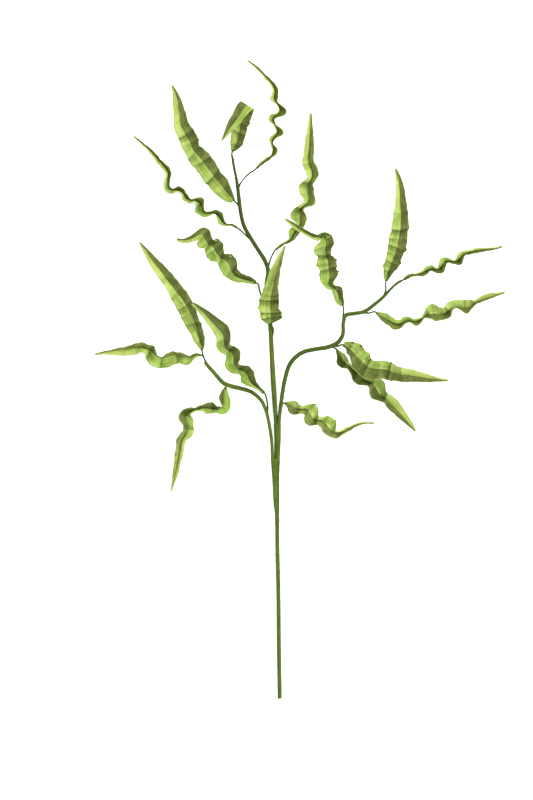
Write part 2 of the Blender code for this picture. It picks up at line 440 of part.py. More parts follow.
def seat_of(leaf):
    """The last run of a leaf's wire, in line with the blade's crease and ending just short of it."""
    crease = blade_lines(LEAVES[leaf], BLADE_STEP)[1]
    heading = unit(crease[1:2] - crease[0:1])[0]
    return [crease[0] - heading * (SEAT_GAP + SEAT_RUN), crease[0] - heading * SEAT_GAP]


def unite(stem, wires):
    """Join wires to the stem that they grow from, as one solid."""
    group = bpy.data.collections.new("wires")
    for wire in wires:
        group.objects.link(wire)
    join = stem.modifiers.new("join", "BOOLEAN")
    join.operation = "UNION"
    join.solver = "EXACT"
    join.operand_type = "COLLECTION"
    join.collection = group
    mesh = finished_mesh(stem, stem.name)
    stem.modifiers.clear()
    stem.data = mesh
    for wire in wires:
        bpy.data.objects.remove(wire)
    bpy.data.collections.remove(group)


def make_stem(name, route, step, end_leaf, material):
    """A taped stem with the leaf wires that branch from it. Its own far end carries end_leaf, if any."""
    table = to_table(route)
    if end_leaf:
        table = np.vstack([table, [[*spot, WIRE_RADIUS] for spot in seat_of(end_leaf)]])
    stem = make_rod(name, table, step, STEM_BEVEL, material)
    wires = []
    for leaf, (parent, wire_route) in WIRES.items():
        if parent == name:
            wire_table = np.vstack([to_table(wire_route), seat_of(leaf)])
            wire_table = np.column_stack([wire_table, np.full(len(wire_table), WIRE_RADIUS)])
            wires.append(make_rod("wire", wire_table, WIRE_STEP, WIRE_BEVEL, material))
    unite(stem, wires)


def centre_on_box():
    """Move the object so that the middle of its box's underside is the origin."""
    corners = []
    for thing in bpy.data.objects:
        spots = np.empty(len(thing.data.vertices) * 3)
        thing.data.vertices.foreach_get("co", spots)
        corners.append(spots.reshape(-1, 3).min(axis=0))
        corners.append(spots.reshape(-1, 3).max(axis=0))
    low = np.min(corners, axis=0)
    high = np.max(corners, axis=0)
    for thing in bpy.data.objects:
        thing.location = (-(low[0] + high[0]) / 2, -(low[1] + high[1]) / 2, -low[2])


def main():
    """Model the frond."""
    clear_scene()
    taped = make_material("green tape", STEM_COLOUR, STEM_ROUGHNESS)
    leafy = make_material("leaf fabric", LEAF_COLOUR, LEAF_ROUGHNESS)
    make_stem("main_stem", MAIN_STEM, STEM_STEP, "leaf_centre_1", taped)
    make_stem("left_branch", LEFT_BRANCH, BRANCH_STEP, None, taped)
    make_stem("right_branch", RIGHT_BRANCH, BRANCH_STEP, "leaf_right_3", taped)
    for name, rows in LEAVES.items():
        make_blade(name, rows, leafy)
    centre_on_box()


main()
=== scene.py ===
"""The looks of a fern frond spray lying down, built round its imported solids.

A row of a table gives a place in the photograph's pixels, x to the right and y down, and a height
over the surface in millimetres. FROND_LENGTH sets what a pixel measures. Lengths are millimetres
until a mesh is made.
"""

import math

import bmesh
import bpy
import numpy as np
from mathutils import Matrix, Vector


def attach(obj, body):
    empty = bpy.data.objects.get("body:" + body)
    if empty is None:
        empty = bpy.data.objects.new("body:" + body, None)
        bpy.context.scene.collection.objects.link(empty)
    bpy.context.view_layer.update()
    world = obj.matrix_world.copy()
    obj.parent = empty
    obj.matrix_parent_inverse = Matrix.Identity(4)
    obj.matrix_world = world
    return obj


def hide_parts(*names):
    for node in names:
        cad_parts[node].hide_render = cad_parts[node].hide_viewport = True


bl_info = {
    "name": "Fern frond spray",
    "version": (1, 0, 0),
    "blender": (4, 5, 0),
    "location": "View3D > Sidebar > Frond",
    "description": "Dresses the packed fern frond with taped stems, leaf wires and folded cloth leaves",
    "category": "Add Mesh",
}

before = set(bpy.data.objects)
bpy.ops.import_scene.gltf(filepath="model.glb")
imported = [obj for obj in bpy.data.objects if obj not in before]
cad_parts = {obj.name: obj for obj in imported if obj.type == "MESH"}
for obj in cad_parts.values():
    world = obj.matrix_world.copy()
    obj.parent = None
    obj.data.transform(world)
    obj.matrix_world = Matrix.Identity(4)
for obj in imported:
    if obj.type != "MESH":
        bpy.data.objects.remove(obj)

MM = 0.001
SMALL = 1e-6
WHITE = (1.0, 1.0, 1.0, 1.0)

# The photograph's size and the frond's place in it, in pixels, and the frond's real length.
IMAGE_WIDTH = 533
IMAGE_HEIGHT = 800
TOP_Y = 60.0
FOOT_X = 279.8
FOOT_Y = 698.5
FROND_LENGTH = 767.0
PIXEL = FROND_LENGTH / (FOOT_Y - TOP_Y)

# How much of the stem counts as its cut end.
FOOT_RUN = 2.5

# How the rows of a table become even rows along a smooth route.
FINE_SAMPLES = 24
LEAST_STEPS = 3
EASE_SPREADS = 3

# The flat blade: half its width at foot and tip, and how long each end takes to widen.
BLADE_BASE_HALF_WIDTH = 1.4
BLADE_TIP_HALF_WIDTH = 0.5
BASE_TAPER = 22.0
TIP_TAPER = 70.0

# Columns of a row after x, y and height: a radius, or a blade's reaches, lift and level direction.
RADIUS = 3
REACHES = slice(3, 5)
LIFT = 5
LEVEL = slice(6, 8)

# The left and the right half of a blade.
SIDES = (1.0, -1.0)

# How steadily a blade's direction turns, and how its lift changes where it folds back.
STEADINESS = 0.5
STEADY_ROWS = 3
LIFT_PAD = 1
LIFT_BLEND = (1 / 3, 1 / 3, 1 / 3)

# How far along a blade its reach, its crease and its curliness are smoothed.
EASE_RUN = 1.3
CREASE_RUN = 2.0
CURL_RUN = 6.0
STRAIGHTEN_RUN = 8.0

# How the halves of a blade reach further outside a bend, and less far inside it.
CURLY = 0.06
STRAIGHT_MARGIN = 0.4
CURLY_MARGIN = 0.65
BEND_FLARE = 0.3
MOST_FLARE = 5.0
INNER_SHARE = 0.6
INNER_RIM = 0.8
LEAST_REACH = 0.5

# The cloth from crease to edge: how a shut half bends, and how its edge waves.
SHUT_FLARE = 1.8
SHUT_RISE = 2.5
EDGE_WAVE = 0.012
RUFFLE_TURNS = (0.27, 0.43, 0.71)
WAVE_SLANT = 0.8
FLOOR_CLEARANCE = 0.02

# A tuck: its step, its fall, its painted dark shadow line and painted pale highlight on its crest, and how it
# runs to the edges.
TUCK_EDGE = 0.35
TUCK_RUN = 7.0
TUCK_LINE = 1.2
TUCK_SPREAD = 4.5
TUCK_SHADE = 0.55
TUCK_CREST = 3.5
TUCK_FLARE = 0.5
TUCK_FADE = 0.3
TUCK_BEND = 1.5
TUCK_SIDES = 0.5
DEEP_TUCK = 1.6

# How many millimetres a map holds along a piece, and what is kept on the points of a leaf.
UV_ALONG = 200.0
# fold holds painted shade in shut creases, tuck a painted shadow line and highlight, curl how curly a leaf
# is.
CLOTH_LAYERS = ("fold", "tuck", "curl", "rim", "reach", "tone")

# A scroll of rolled edge: its grid, how it winds and widens, how it is shaded, and its place on the map.
SCROLL_COLUMNS = 28
SCROLL_ROWS = 6
SCROLL_TURNS = 1.25
SCROLL_TIGHTENS = 0.55
SCROLL_WIDENS = 0.15
SCROLL_HEIGHT = 2.5
SCROLL_RIM = 0.9
SCROLL_FOLD = 0.7
SCROLL_REACH = 0.5
SCROLL_MAP_START = (0.7, 0.08)
SCROLL_MAP_WIDTH = 0.2
SCROLL_MAP_LENGTH = 8.0

# Stems, wires and bindings: their grids, where a wire joins a stem and a leaf, and the bare wire inside.
STEM_STEP = 0.8
STEM_SIDES = 24
WIRE_SIDES = 12
BINDING_SIDES = 48
BINDING_TAPE = 0.5
RIDGE_SINKS = 0.25
JOINT_SWELL = 1.5
SEAT_RUN = 1.8
SEAT_OVERLAP = 1.5
CORE_RADIUS = 0.9
CORE_BEVEL = 0.25

# Finishes: what is the same all over each surface.
CLOTH_FINISH = {"Roughness": 0.62, "Specular IOR Level": 0.1}
EDGE_FINISH = {"Roughness": 0.7}
TAPE_FINISH = {"Roughness": 0.55, "Specular IOR Level": 0.1}
IRON_FINISH = {"Roughness": 0.45, "Metallic": 0.8}
FLOOR_FINISH = {"Roughness": 0.9, "Emission Color": WHITE, "Emission Strength": 0.25}

# Sockets of the mix node: its share, its two colours, and the colour that it gives.
MIX_SHARE = 0
MIX_FIRST = 6
MIX_SECOND = 7
MIX_RESULT = 2

# Patterns: how fine each is across and along the map, and how detailed.
CLOTH_FIBRES = ((13.0, 4.5, 1.0), 3.0)
CLOTH_THREADS = ((90.0, 500.0, 1.0), 1.0)
CLOTH_BANDS = ((1.8, 17.0, 1.0), 3.0)
CLOTH_PATCHES = ((6.0, 30.0, 1.0), 2.0)
EDGE_FIBRES = ((60.0, 300.0, 1.0), 2.0)
TAPE_STREAKS = ((4.0, 12.0, 1.0), 4.0)
TAPE_CRINKLES = ((30.0, 260.0, 1.0), 2.0)
IRON_GRAIN = 900.0
FLOOR_TOOTH = 300.0

# Where each mark starts and where it is full.
CREASE_BLEND = (0.49, 0.51)
DARK_PATCHES = (0.48, 0.64)
PALE_PATCHES = (0.48, 0.34)
TUCK_PATCHES = (0.2, 0.45)
TIP_PART = (0.6, 1.0)
FOOT_PART = (0.14, 0.0)
RIM_PART = (0.93, 1.0)
EDGE_PATCHES = (0.3, 0.8)
STREAK_PATCHES = (0.42, 0.62)

# How strongly each mark shows, from 0 to 1.
# Painted light and shade where a leaf curls, and how far the line between the light and the shaded half moves
# over in a curl.
CURL_LIGHT = 0.8
CURL_DARK = 0.6
CURL_WIDENS = 0.09
FOLD_LIGHT = 0.2
FOLD_DARK = 0.9
BANDS_SHOW = (0.6, 0.5)
FIBRES_SHOW = (0.55, 0.5)
THREADS_SHOW = 0.4
TIP_SHOWS = 0.4
FOOT_SHOWS = 0.45
CREST_SHOWS = 0.5
TUCK_SHOWS = 0.9
RIM_SHOWS = 0.3
RIM_CURLS = 0.4
STREAKS_SHOW = 0.55
TOOTH_SHOWS = 0.02

# How strongly and how far, in millimetres, the grain stands up.
CLOTH_GRAIN = (0.6, 0.6)
TAPE_GRAIN = (0.4, 0.2)

# Colours that stay as they are.
IRON_GREY = (0.34, 0.33, 0.31)
IRON_DARK = (0.2, 0.19, 0.17)
FLOOR_GREY = (0.8, 0.8, 0.79)

# The stage.
FLOOR_SIZE = 6.0
SENSOR = 36.0
SKY_STRENGTH = 1.65
KEY_STRENGTH = 2.8
KEY_SOFTNESS = 0.5
KEY_FROM = (0.7, 0.25, 0.7)

# Stem routes: x, y, height, radius in millimetres.
MAIN_STEM = (
    (279.8, 698.5, 2.0, 2.05), (278.9, 640, 2.5, 2.05), (278.4, 590, 3.1, 2.05), (277.5, 550, 3.6, 2.05),
    (277.1, 520, 4.0, 2.05), (276.3, 500, 4.4, 2.05), (275.8, 480, 4.7, 2.05), (276.1, 460, 5.1, 1.85),
    (276.2, 440, 5.5, 1.8), (275.7, 420, 6.0, 2.1), (274.7, 403, 6.5, 2.35), (273.2, 380, 7.0, 2.35),
    (271.6, 350, 8.0, 2.1), (270.3, 325, 8.5, 2.1), (267.4, 300, 8.8, 2.0), (266.6, 284, 9.0, 2.0),
    (268.0, 270, 9.0, 1.95), (265.0, 261, 9.0, 1.95), (257.5, 249, 9.4, 1.9), (250.0, 237, 9.4, 1.9),
    (244.0, 226, 9.0, 1.85), (240.8, 213, 9.0, 1.8), (239.1, 200, 9.0, 1.8), (237.6, 187, 9.0, 1.5),
    (236.2, 178, 9.0, 1.1), (234.3, 169, 9.0, 1.0), (232.9, 160, 9.0, 1.0),
)
LEFT_BRANCH = (
    (275.9, 512, 7.3, 0.9), (275.0, 504, 7.7, 1.3), (274.1, 480, 8.2, 1.6), (272.7, 460, 7.9, 1.7),
    (271.5, 440, 7.5, 1.7), (269.0, 424, 7.6, 1.8), (266.0, 411, 7.8, 1.8), (261.5, 401, 8.0, 1.8),
    (251.0, 391.8, 8.2, 1.8), (240.0, 388.3, 8.4, 1.8), (230.0, 385.8, 8.6, 1.8),
    (223.5, 383.0, 8.8, 1.8), (218.5, 378, 9.0, 1.7), (213.0, 371.5, 9.0, 1.6), (208.0, 366, 9.0, 1.5),
    (205.0, 362, 9.0, 1.4),
)
RIGHT_BRANCH = (
    (278.0, 524, 7.1, 0.9), (278.4, 520.3, 7.3, 1.1), (278.0, 516, 7.5, 1.0), (277.9, 500, 7.8, 1.3),
    (277.5, 480, 8.3, 1.6),
    (278.1, 460, 8.2, 1.75), (278.9, 440, 7.9, 1.9), (279.0, 423, 8.0, 1.95), (279.6, 414, 8.0, 1.95),
    (281.0, 404, 8.2, 1.95), (282.5, 393, 8.3, 1.85), (285.0, 379, 8.5, 1.8), (291.0, 362.5, 8.8, 1.9),
    (302.0, 352.7, 9.0, 1.9), (315.0, 349.2, 9.0, 1.85), (328.6, 346.9, 9.2, 1.85),
    (338.0, 342.3, 9.4, 1.85), (342.6, 335, 9.5, 1.65), (343.3, 323, 9.5, 1.55), (345.5, 315.5, 9.5, 1.7),
    (354.0, 313.6, 9.5, 1.55), (364.0, 311.7, 9.5, 1.5), (375.0, 304.0, 9.5, 1.4),
    (385.0, 295.3, 9.5, 1.2), (390.0, 289.8, 9.4, 0.9), (395.5, 284.5, 9.2, 0.8),
    (400.5, 281.2, 9.0, 0.8),
)

# Stems, and the leaf that each runs into at its end.
STEMS = {
    "main_stem": (MAIN_STEM, "leaf_centre_1"),
    "left_branch": (LEFT_BRANCH, None),
    "right_branch": (RIGHT_BRANCH, "leaf_right_3"),
}

# Binding tape: the stems that it goes round, and the y where it starts and ends.
BINDINGS = {
    "binding_of_two": ((MAIN_STEM, RIGHT_BRANCH), 423.5, 523.0),
    "binding_of_three": ((MAIN_STEM, LEFT_BRANCH, RIGHT_BRANCH), 458.5, 511.0),
}

# How far the tape is darkened along each stem, partly its own darker tone and partly painted shade, the most
# towards the top: y, then the share.
TAPE_TONE_AND_SHADE = {
    "main_stem": (
        (160, 0.9), (240, 0.9), (330, 0.3), (370, 0.1), (395, 0.2), (421, 0.35), (430, 0.1), (520, 0.1),
        (526, 0.6), (534, 0.15), (600, 0.3), (700, 0.45),
    ),
    "left_branch": ((360, 0.3), (400, 0.1), (520, 0.1)),
    "right_branch": ((280, 0.6), (325, 0.4), (350, 0.65), (400, 0.45), (422, 0.45), (430, 0.1)),
}
# How far the wires and the binding are darkened.
WIRE_DARKNESS = 0.9
BINDING_DARKNESS = 0.1

# How much of the tape's build-up a stem has at each y.
BUILD_ROWS = (250, 300, 385, 415, 505, 530)
BUILD_SHARES = (0.8, 1.0, 1.0, 0.3, 0.4, 0.65)

# Leaf wires: the stem each grows from, and its route from inside that stem towards its blade.
WIRES = {
    "leaf_centre_2": ("main_stem", ((238.4, 188, 9.0), (240.5, 183.5, 9.2), (249.5, 173.5, 9.6))),
    "leaf_centre_3": ("main_stem", ((240.5, 208, 9.0), (237.6, 204.5, 9.1))),
    "leaf_centre_4": ("main_stem", ((252.0, 240.5, 9.4), (246.5, 236.0, 9.2), (241.0, 230.8, 9.0))),
    "leaf_centre_5": ("main_stem", ((267.8, 304, 8.8), (262.3, 298.0, 8.8), (259.6, 290.6, 8.9))),
    "leaf_centre_6": ("main_stem", ((270.9, 341, 8.2), (272.9, 334.0, 9.6), (273.1, 328.5, 12.0))),
    "leaf_centre_7": ("main_stem", ((267.9, 269, 9.0), (269.6, 262.0, 9.6), (272.6, 254.5, 10.0))),
    "leaf_left_1": ("left_branch", ((206.2, 363.5, 9.0), (204.2, 358.5, 9.2), (202.7, 354.0, 9.2))),
    "leaf_left_2": ("left_branch", ((206.0, 363.2, 9.0), (204.2, 358.5, 8.8))),
    "leaf_left_3": ("left_branch", ((225.8, 384.3, 8.7),)),
    "leaf_left_4": ("left_branch", ((267.0, 415.0, 7.8), (267.5, 405.0, 9.6), (266.0, 397.0, 10.6))),
    "leaf_right_1": ("right_branch", ((343.4, 319.0, 9.5), (343.3, 312.0, 9.9))),
    "leaf_right_2": ("right_branch", ((383.9, 296.6, 9.5), (385.6, 290.0, 9.4))),
    "leaf_right_4": ("right_branch", ((361.0, 312.0, 9.5), (368.0, 313.2, 9.2))),
    "leaf_right_5": ("right_branch", ((332.5, 345.2, 9.3), (338.0, 346.2, 12.0))),
    "leaf_right_6": ("right_branch", ((328.0, 346.5, 9.2), (332.5, 347.3, 9.6))),
    "leaf_right_7": ("right_branch", ((280.8, 407.5, 8.2),)),
}

# Leaf blades: crease x, y, height, then each half's reach in pixels, below nought where folded over.
LEAVES = {
    "leaf_centre_1": (
        (232.5, 151.5, 9, 1.2, 1.4), (234.3, 147, 11, 4, 4.6), (237.3, 141, 15, 6.5, 6.2),
        (239, 134, 20, 8, 6), (241, 124, 26, 8.5, 7.5), (244.5, 114, 33, 8, 7.5), (248, 105.8, 42, 7, 7),
        (244.5, 108.8, 50, -7.5, -6), (238.2, 118.6, 52, -6.5, -4.5), (232, 126.6, 51, -5, -3.5),
        (226.6, 134.6, 49, -2.5, -2), (222, 141.3, 47, -0.4, -0.4),
    ),
    "leaf_centre_2": (
        (256.7, 168.3, 10, 0.9, 0.9), (261.7, 163.5, 9, 1.6, 1.3), (267.5, 159.3, 8, 1.2, 1),
        (272.5, 155, 8, 1, 1.5), (273.8, 148.6, 8, 1.5, 3), (271.9, 144.2, 8, 0.9, 0.9),
        (272, 141, 9, 2, 1), (275, 136, 9, 2.4, 3.4), (278.3, 132.6, 9, 1.6, 5.4),
        (277, 128.2, 10, 1, 1.4), (274.2, 124, 10, 1, 1.2), (272.1, 119.8, 10, 2.6, 1.2),
        (274.8, 116, 11, 2.2, 2.8), (279, 114, 11, 1.2, 4.8), (280.6, 110, 12, 1, 5.4),
        (278, 105.6, 12, 0.9, 1.6), (275.4, 101.8, 13, 2.5, 1.3), (274.6, 96.8, 14, 4.2, 3.8),
        (275, 91, 15, 2.2, 3), (272.7, 85.7, 16, 1.8, 2.2), (267.6, 79.2, 17, 1.6, 1.3),
        (260.9, 72.1, 19, 1.4, 1.1), (253.6, 65.4, 21, 1, 0.9), (247.3, 61.2, 23, 0.6, 0.6),
    ),
    "leaf_centre_3": (
        (234, 200.5, 9, 2.8, 1), (232, 198.3, 9, 6, 2.3), (228.3, 194.3, 9, 7.6, 4.5),
        (221.7, 186, 8, 9.7, 7.8), (213.3, 175.2, 5, 10.2, 7.5), (208.5, 169, 8, 9.8, 9),
        (202.5, 161, 5, 10, 8.6), (196.7, 154.3, 8.5, 9.5, 8.5), (191.7, 148.5, 6, 7.2, 8),
        (189.6, 141.8, 9, 9, 8.7), (185.8, 135.2, 6, 7.3, 9), (180.8, 126.8, 9, 6, 8.3),
        (179.2, 115.2, 11, 5, 6.7), (177.5, 102.7, 14, 4.6, 4.3), (175, 93, 16, 2.2, 2.4),
        (172, 85.5, 18, 0.7, 0.7),
    ),
    "leaf_centre_4": (
        (236.7, 227.7, 8.5, 0.9, 0.9), (232.5, 225.6, 7, 0.9, 1.4), (227.5, 224.8, 5.5, 0.8, 0.9),
        (223.8, 223.8, 4.5, 1.5, 1), (220.8, 220.2, 4, 3, 4), (218.8, 216, 3.5, 2, 4.5),
        (215.5, 213, 3, 0.9, 1.4), (210.5, 213.6, 2.5, 1.4, 2.2), (206, 214, 2, 1.2, 1),
        (203.3, 212, 1.5, 3.2, 1.2), (201.3, 206.8, 1, 7.6, 3.2), (200.2, 202.3, 1, 5.4, 4),
        (196, 199.9, 1, 1.4, 0.9), (192, 200.8, 1, 1.2, 1.1), (188.9, 200, 1, 1.8, 1),
        (186, 197.3, 0.8, 4.2, 3), (183.7, 193.8, 0.6, 2.4, 2), (181, 190.9, 0.6, 1, 1.6),
        (176.3, 190.2, 0.4, 1.8, 4.2), (171.8, 190.8, 0.6, 1.1, 1.2), (168.8, 188.6, 0.8, 2.8, 0.9),
        (167.9, 184.3, 1, 3.2, 1.2), (167.9, 178.5, 1.5, 2.2, 2.5), (168.3, 172.7, 2, 2.2, 2.8),
        (164.6, 166.6, 3, 3, 1.7), (157.8, 158.2, 4.5, 3, 1.2), (150.2, 149.8, 6.5, 2.2, 0.9),
        (142.6, 143.6, 8.5, 1.4, 0.8), (133.6, 136.4, 11, 0.6, 0.6),
    ),
    "leaf_centre_5": (
        (256, 283, 9, 0.9, 0.9), (252, 281.5, 9.5, 1.5, 2.5), (246, 280, 10, 2.2, 3.5),
        (240, 278, 11, 4, 4.2), (234.5, 275, 13, 5, 4.5), (231, 270.5, 16, 7.5, 7),
        (228.5, 264.5, 19, 9, 8.5), (225.2, 259.8, 19, 8, 6), (221.3, 258, 14, 5, 4),
        (217.8, 255.5, 17, 7, 7), (214.8, 250.5, 21, 9.5, 9.5), (212, 246.3, 21, 8, 8),
        (208.6, 244.2, 17, 5, 4.5), (205.3, 241.5, 20, 8, 7), (203.2, 236.3, 25, 7, 7),
        (201.7, 233.6, 29, 5.6, 5), (196.8, 236.3, 30, 3.4, 3), (191, 239.7, 29, 1.8, 2.6),
        (184, 241.2, 28, 1.6, 1.2), (176.6, 239.9, 29, 0.6, 0.6),
    ),
    "leaf_centre_6": (
        (271.2, 323.5, 13, 4.2, 1.6), (270.6, 320.5, 15, 6.5, 10.2), (270.3, 317, 19, 9.5, 11.3),
        (270, 313.2, 16, 9, 10.5), (270, 307, 21, 11, 8.3), (270, 301.3, 17, 9.5, 8.5),
        (270.6, 297.5, 21, 9, 7.8), (272.5, 290, 29, 8.5, 5.5), (275, 278, 40, 7, 4.2),
        (278.5, 266, 51, 5.3, 2.8), (282, 255, 61, 2.6, 1.6), (284.8, 246.5, 69, 0.7, 0.7),
    ),
    "leaf_centre_7": (
        (276.3, 249.2, 10, 0.9, 0.9), (281, 245.5, 8.5, 1.4, 1), (287, 242.5, 7, 0.9, 1),
        (291.2, 239, 5, 2.4, 1.3), (294.5, 233.5, 4, 6.9, 4), (297.5, 229, 3, 3, 3),
        (300.3, 225.3, 2.5, 2.5, 3), (300.8, 221, 2, 6.8, 4.5), (299.8, 216.8, 2, 9.2, 6.5),
        (298.9, 212.2, 2, 5.8, 6.5), (300.5, 208.4, 2, 1.6, 2), (304.5, 205.6, 1.5, 2, 1.5),
        (308.5, 203.5, 1, 4, 4), (309.4, 198.5, 0.7, 5.5, 6.1), (307.3, 192.5, 0.4, 7.8, 6),
        (307, 187.5, 0.6, 8.2, 6.5), (309.5, 182.5, 1, 4.5, 3.5), (312, 179, 1.2, 2.8, 3),
        (312.8, 174.5, 1.5, 5, 5.3), (311.8, 170, 2, 6.3, 5.6), (309.8, 165.5, 2.5, 6.3, 5.2),
        (309, 160, 3, 5.7, 4.5), (309.5, 148, 4, 4.9, 4.5), (310, 135, 6, 3.7, 3.4),
        (310.3, 123, 8, 2.1, 2), (310.6, 113.2, 10, 0.8, 0.8),
    ),
    "leaf_left_1": (
        (202, 350, 9, 1, 1), (201.3, 346, 9, 2.8, 3), (200, 341, 8, 5, 4.7), (198, 332.5, 11, 7, 5),
        (195.5, 323.5, 7, 9.3, 4.4), (191, 314, 11, 10, 5.4), (187, 306, 7, 9.5, 6.5), (182, 299, 11, 9, 7.5),
        (177, 293, 8, 7, 8), (172, 286, 11, 6, 7.5), (166, 278, 10, 5.5, 7), (160, 270, 11, 5.5, 6),
        (154, 263, 12, 4.3, 5), (147, 253, 13, 2.7, 3.2), (139.5, 242.5, 15, 0.7, 0.7),
    ),
    "leaf_left_2": (
        (200.6, 355.2, 8.5, 0.9, 0.9), (196.5, 354.3, 7.5, 2.5, 1), (192, 356.5, 6.5, 4, 1),
        (188, 357.8, 5.5, 7, 1.5), (183, 356, 4.5, 8, 2.8), (177, 354.8, 3.5, 7.5, 2.3),
        (171, 355, 3, 10, 2.3), (166, 357.5, 2.5, 9.5, 3), (161.5, 359.3, 2, 8, 1.2),
        (157, 358.3, 1.6, 8.5, 1.5), (154, 354.5, 1.4, 9, 3), (151, 350.5, 1.4, 8.5, 4),
        (147.5, 347.8, 1.4, 5, 2), (143, 347.2, 1.6, 4.5, 3.5), (137, 347.7, 2, 6, 4.3),
        (130, 348.8, 2.6, 6.5, 3.2), (120, 350, 4, 5.3, 2), (110, 351.3, 6, 3.5, 1.2),
        (102, 353, 8, 1.5, 1), (95, 354.5, 10, 0.7, 0.7),
    ),
    "leaf_left_3": (
        (225.6, 387.6, 8.5, 0.9, 0.9), (224, 391.5, 8, 3.5, 2.2), (223, 396.5, 7.5, 6, 3),
        (224, 401, 7, 6.5, 4), (225.3, 405, 6.5, 4, 3), (224, 408.6, 6, 2, 1.6),
        (220.5, 409.8, 6, 2.8, 2.8), (216, 409.8, 5.5, 1.5, 3.2), (211.5, 408.8, 5, 4, 6.2),
        (206.5, 407.8, 4.5, 5.5, 4.5), (202.5, 407.5, 4, 2.5, 1.5), (198, 409, 3.5, 1.8, 1.4),
        (193.5, 410.3, 3, 1.5, 1.5), (189, 411.2, 2.5, 2.5, 2), (186.2, 413.7, 2, 5, 4),
        (185.5, 418, 1.6, 7.3, 6.5), (186.4, 423.2, 1.2, 6.6, 3.8), (187.5, 428.3, 1, 6, 3.5),
        (186.4, 432.8, 0.8, 6.3, 3.7), (183.2, 437, 0.7, 5, 4.6), (181.3, 443, 0.6, 3.8, 4.8),
        (179.3, 453, 0.5, 4, 4), (177.3, 464, 0.4, 3.2, 3.2), (175, 475, 0.6, 2.6, 2.5),
        (173, 484, 1.2, 1.2, 1.2), (171.3, 491, 2, 0.7, 0.7),
    ),
    "leaf_left_4": (
        (264, 393, 11, 0.9, 0.9), (260, 389.5, 11.8, 1.1, 1.1), (255.5, 386.3, 12, 1.6, 2.5),
        (250.8, 382.5, 12, 4, 5.5), (247.8, 377, 12, 7.3, 6.5), (245.8, 372.3, 12, 6, 6),
        (242, 369.7, 12, 4, 4), (237.6, 369, 12, 4, 3), (234.3, 366.8, 12, 6, 4),
        (233, 362.5, 12, 7.5, 6), (233.4, 357.5, 12, 7.3, 6.8), (232, 353, 12, 5.5, 7.5),
        (228.8, 350.5, 12, 4, 5), (225.4, 347.8, 12, 6, 4), (223.6, 343.5, 12.5, 7, 6.5),
        (223.4, 338.5, 13, 5.8, 6.8), (222, 333, 14, 5.8, 7.8), (217.3, 328.1, 15, 4.5, 8),
        (211.5, 321.9, 17, 3.5, 6.2), (205.1, 314.9, 19, 2.6, 4.4), (199, 309, 22, 1.7, 2.6),
        (192.5, 303.5, 25, 0.7, 0.7),
    ),
    "leaf_right_1": (
        (342.8, 306, 10, 0.9, 0.9), (341.3, 301.5, 10, 4.9, 2.2), (339.3, 296, 11, 5.2, 3.7),
        (337, 291, 14, 4.9, 5.4), (334.3, 288.3, 17, 2, 3), (331.2, 287.3, 15, 2, 1.6),
        (328.8, 284, 16, 4.5, 4), (328.8, 278, 20, 8.5, 8.1), (329.2, 272.8, 22, 9.5, 8.3),
        (328.9, 269, 17, 8.5, 6.5), (328.3, 264.3, 21, 11, 7.4), (327.3, 259.8, 23, 10, 7.2),
        (325.9, 255.6, 18, 8, 4.2), (325.1, 250.3, 22, 10.3, 6), (325.3, 244.5, 27, 10, 8.3),
        (325, 239.5, 31, 6.5, 6.5), (322.5, 236.8, 34, 3.6, 3.8), (318, 237.4, 34, 3, 1.8),
        (313, 236.6, 32, 2.4, 1.7), (308, 233.9, 30, 2.3, 1.7), (302, 230.3, 28, 2.4, 1.7),
        (296, 226.8, 28, 2.4, 1.7), (290, 223, 29, 1.3, 1.3), (285, 219.5, 31, 0.7, 0.7),
    ),
    "leaf_right_2": (
        (386, 281, 9, 1, 1), (386.7, 277, 9, 3, 3), (388.5, 271.5, 8, 5, 4.5),
        (391, 265, 10.5, 6.5, 7.5), (392.3, 261, 7, 6.3, 7), (394.6, 254.8, 10.5, 7.5, 7.5),
        (396.8, 248, 7, 8, 8), (398.3, 240, 10.5, 9, 8.3), (400, 231, 7, 7.8, 7.6),
        (400.6, 220, 10, 7.5, 7.5), (400.3, 204, 11, 5, 6), (399.3, 190, 12, 3.2, 4.9),
        (397.7, 178, 14, 2, 3), (395.2, 168.5, 16, 0.7, 0.7),
    ),
    "leaf_right_3": (
        (404, 279.3, 9, 0.9, 0.9), (410, 275.8, 9, 1.7, 1.2), (416, 274.9, 8.5, 0.9, 0.9),
        (420, 274, 8.5, 1.3, 1.4), (423.5, 272.3, 8, 1.7, 3.6), (426.3, 270, 8, 1.3, 3),
        (429.5, 269.2, 8, 1.8, 1), (433, 269.6, 8, 3.7, 1.6), (436.5, 270.8, 8, 2, 1),
        (440, 269.8, 8, 2.2, 1.2), (443, 265.7, 8, 5.1, 3), (444.8, 261.7, 8, 3.2, 1.8),
        (448, 260.8, 8, 0.7, 1), (452, 261.8, 8, 1.5, 1.6), (456, 262, 8, 1, 1.2),
        (459.2, 260.8, 8, 4, 2.3), (461.4, 257.2, 8, 4, 2), (463.8, 253.9, 8.5, 2.4, 1.4),
        (468, 252.6, 9, 1, 1.3), (474, 251, 10, 1.6, 2.3), (481, 249.7, 11, 1.4, 2.2),
        (489, 248.9, 12, 0.8, 1.4), (496, 248.4, 13, 0.7, 0.7), (502, 246.2, 14, 0.7, 0.7),
    ),
    "leaf_right_4": (
        (376.5, 313, 9, 0.9, 0.9), (383, 318, 7.5, 5.2, 2.5), (390, 322.3, 5.5, 5.6, 3.3),
        (396, 325.1, 4, 4.2, 4.3), (401, 324.2, 2.5, 4.2, 2.4), (404.7, 321.8, 2, 4.5, 1.2),
        (408.5, 320.7, 1.6, 4.2, 1.2), (412, 321.6, 1.4, 2.5, 2), (416, 321.9, 1.2, 2.2, 3.3),
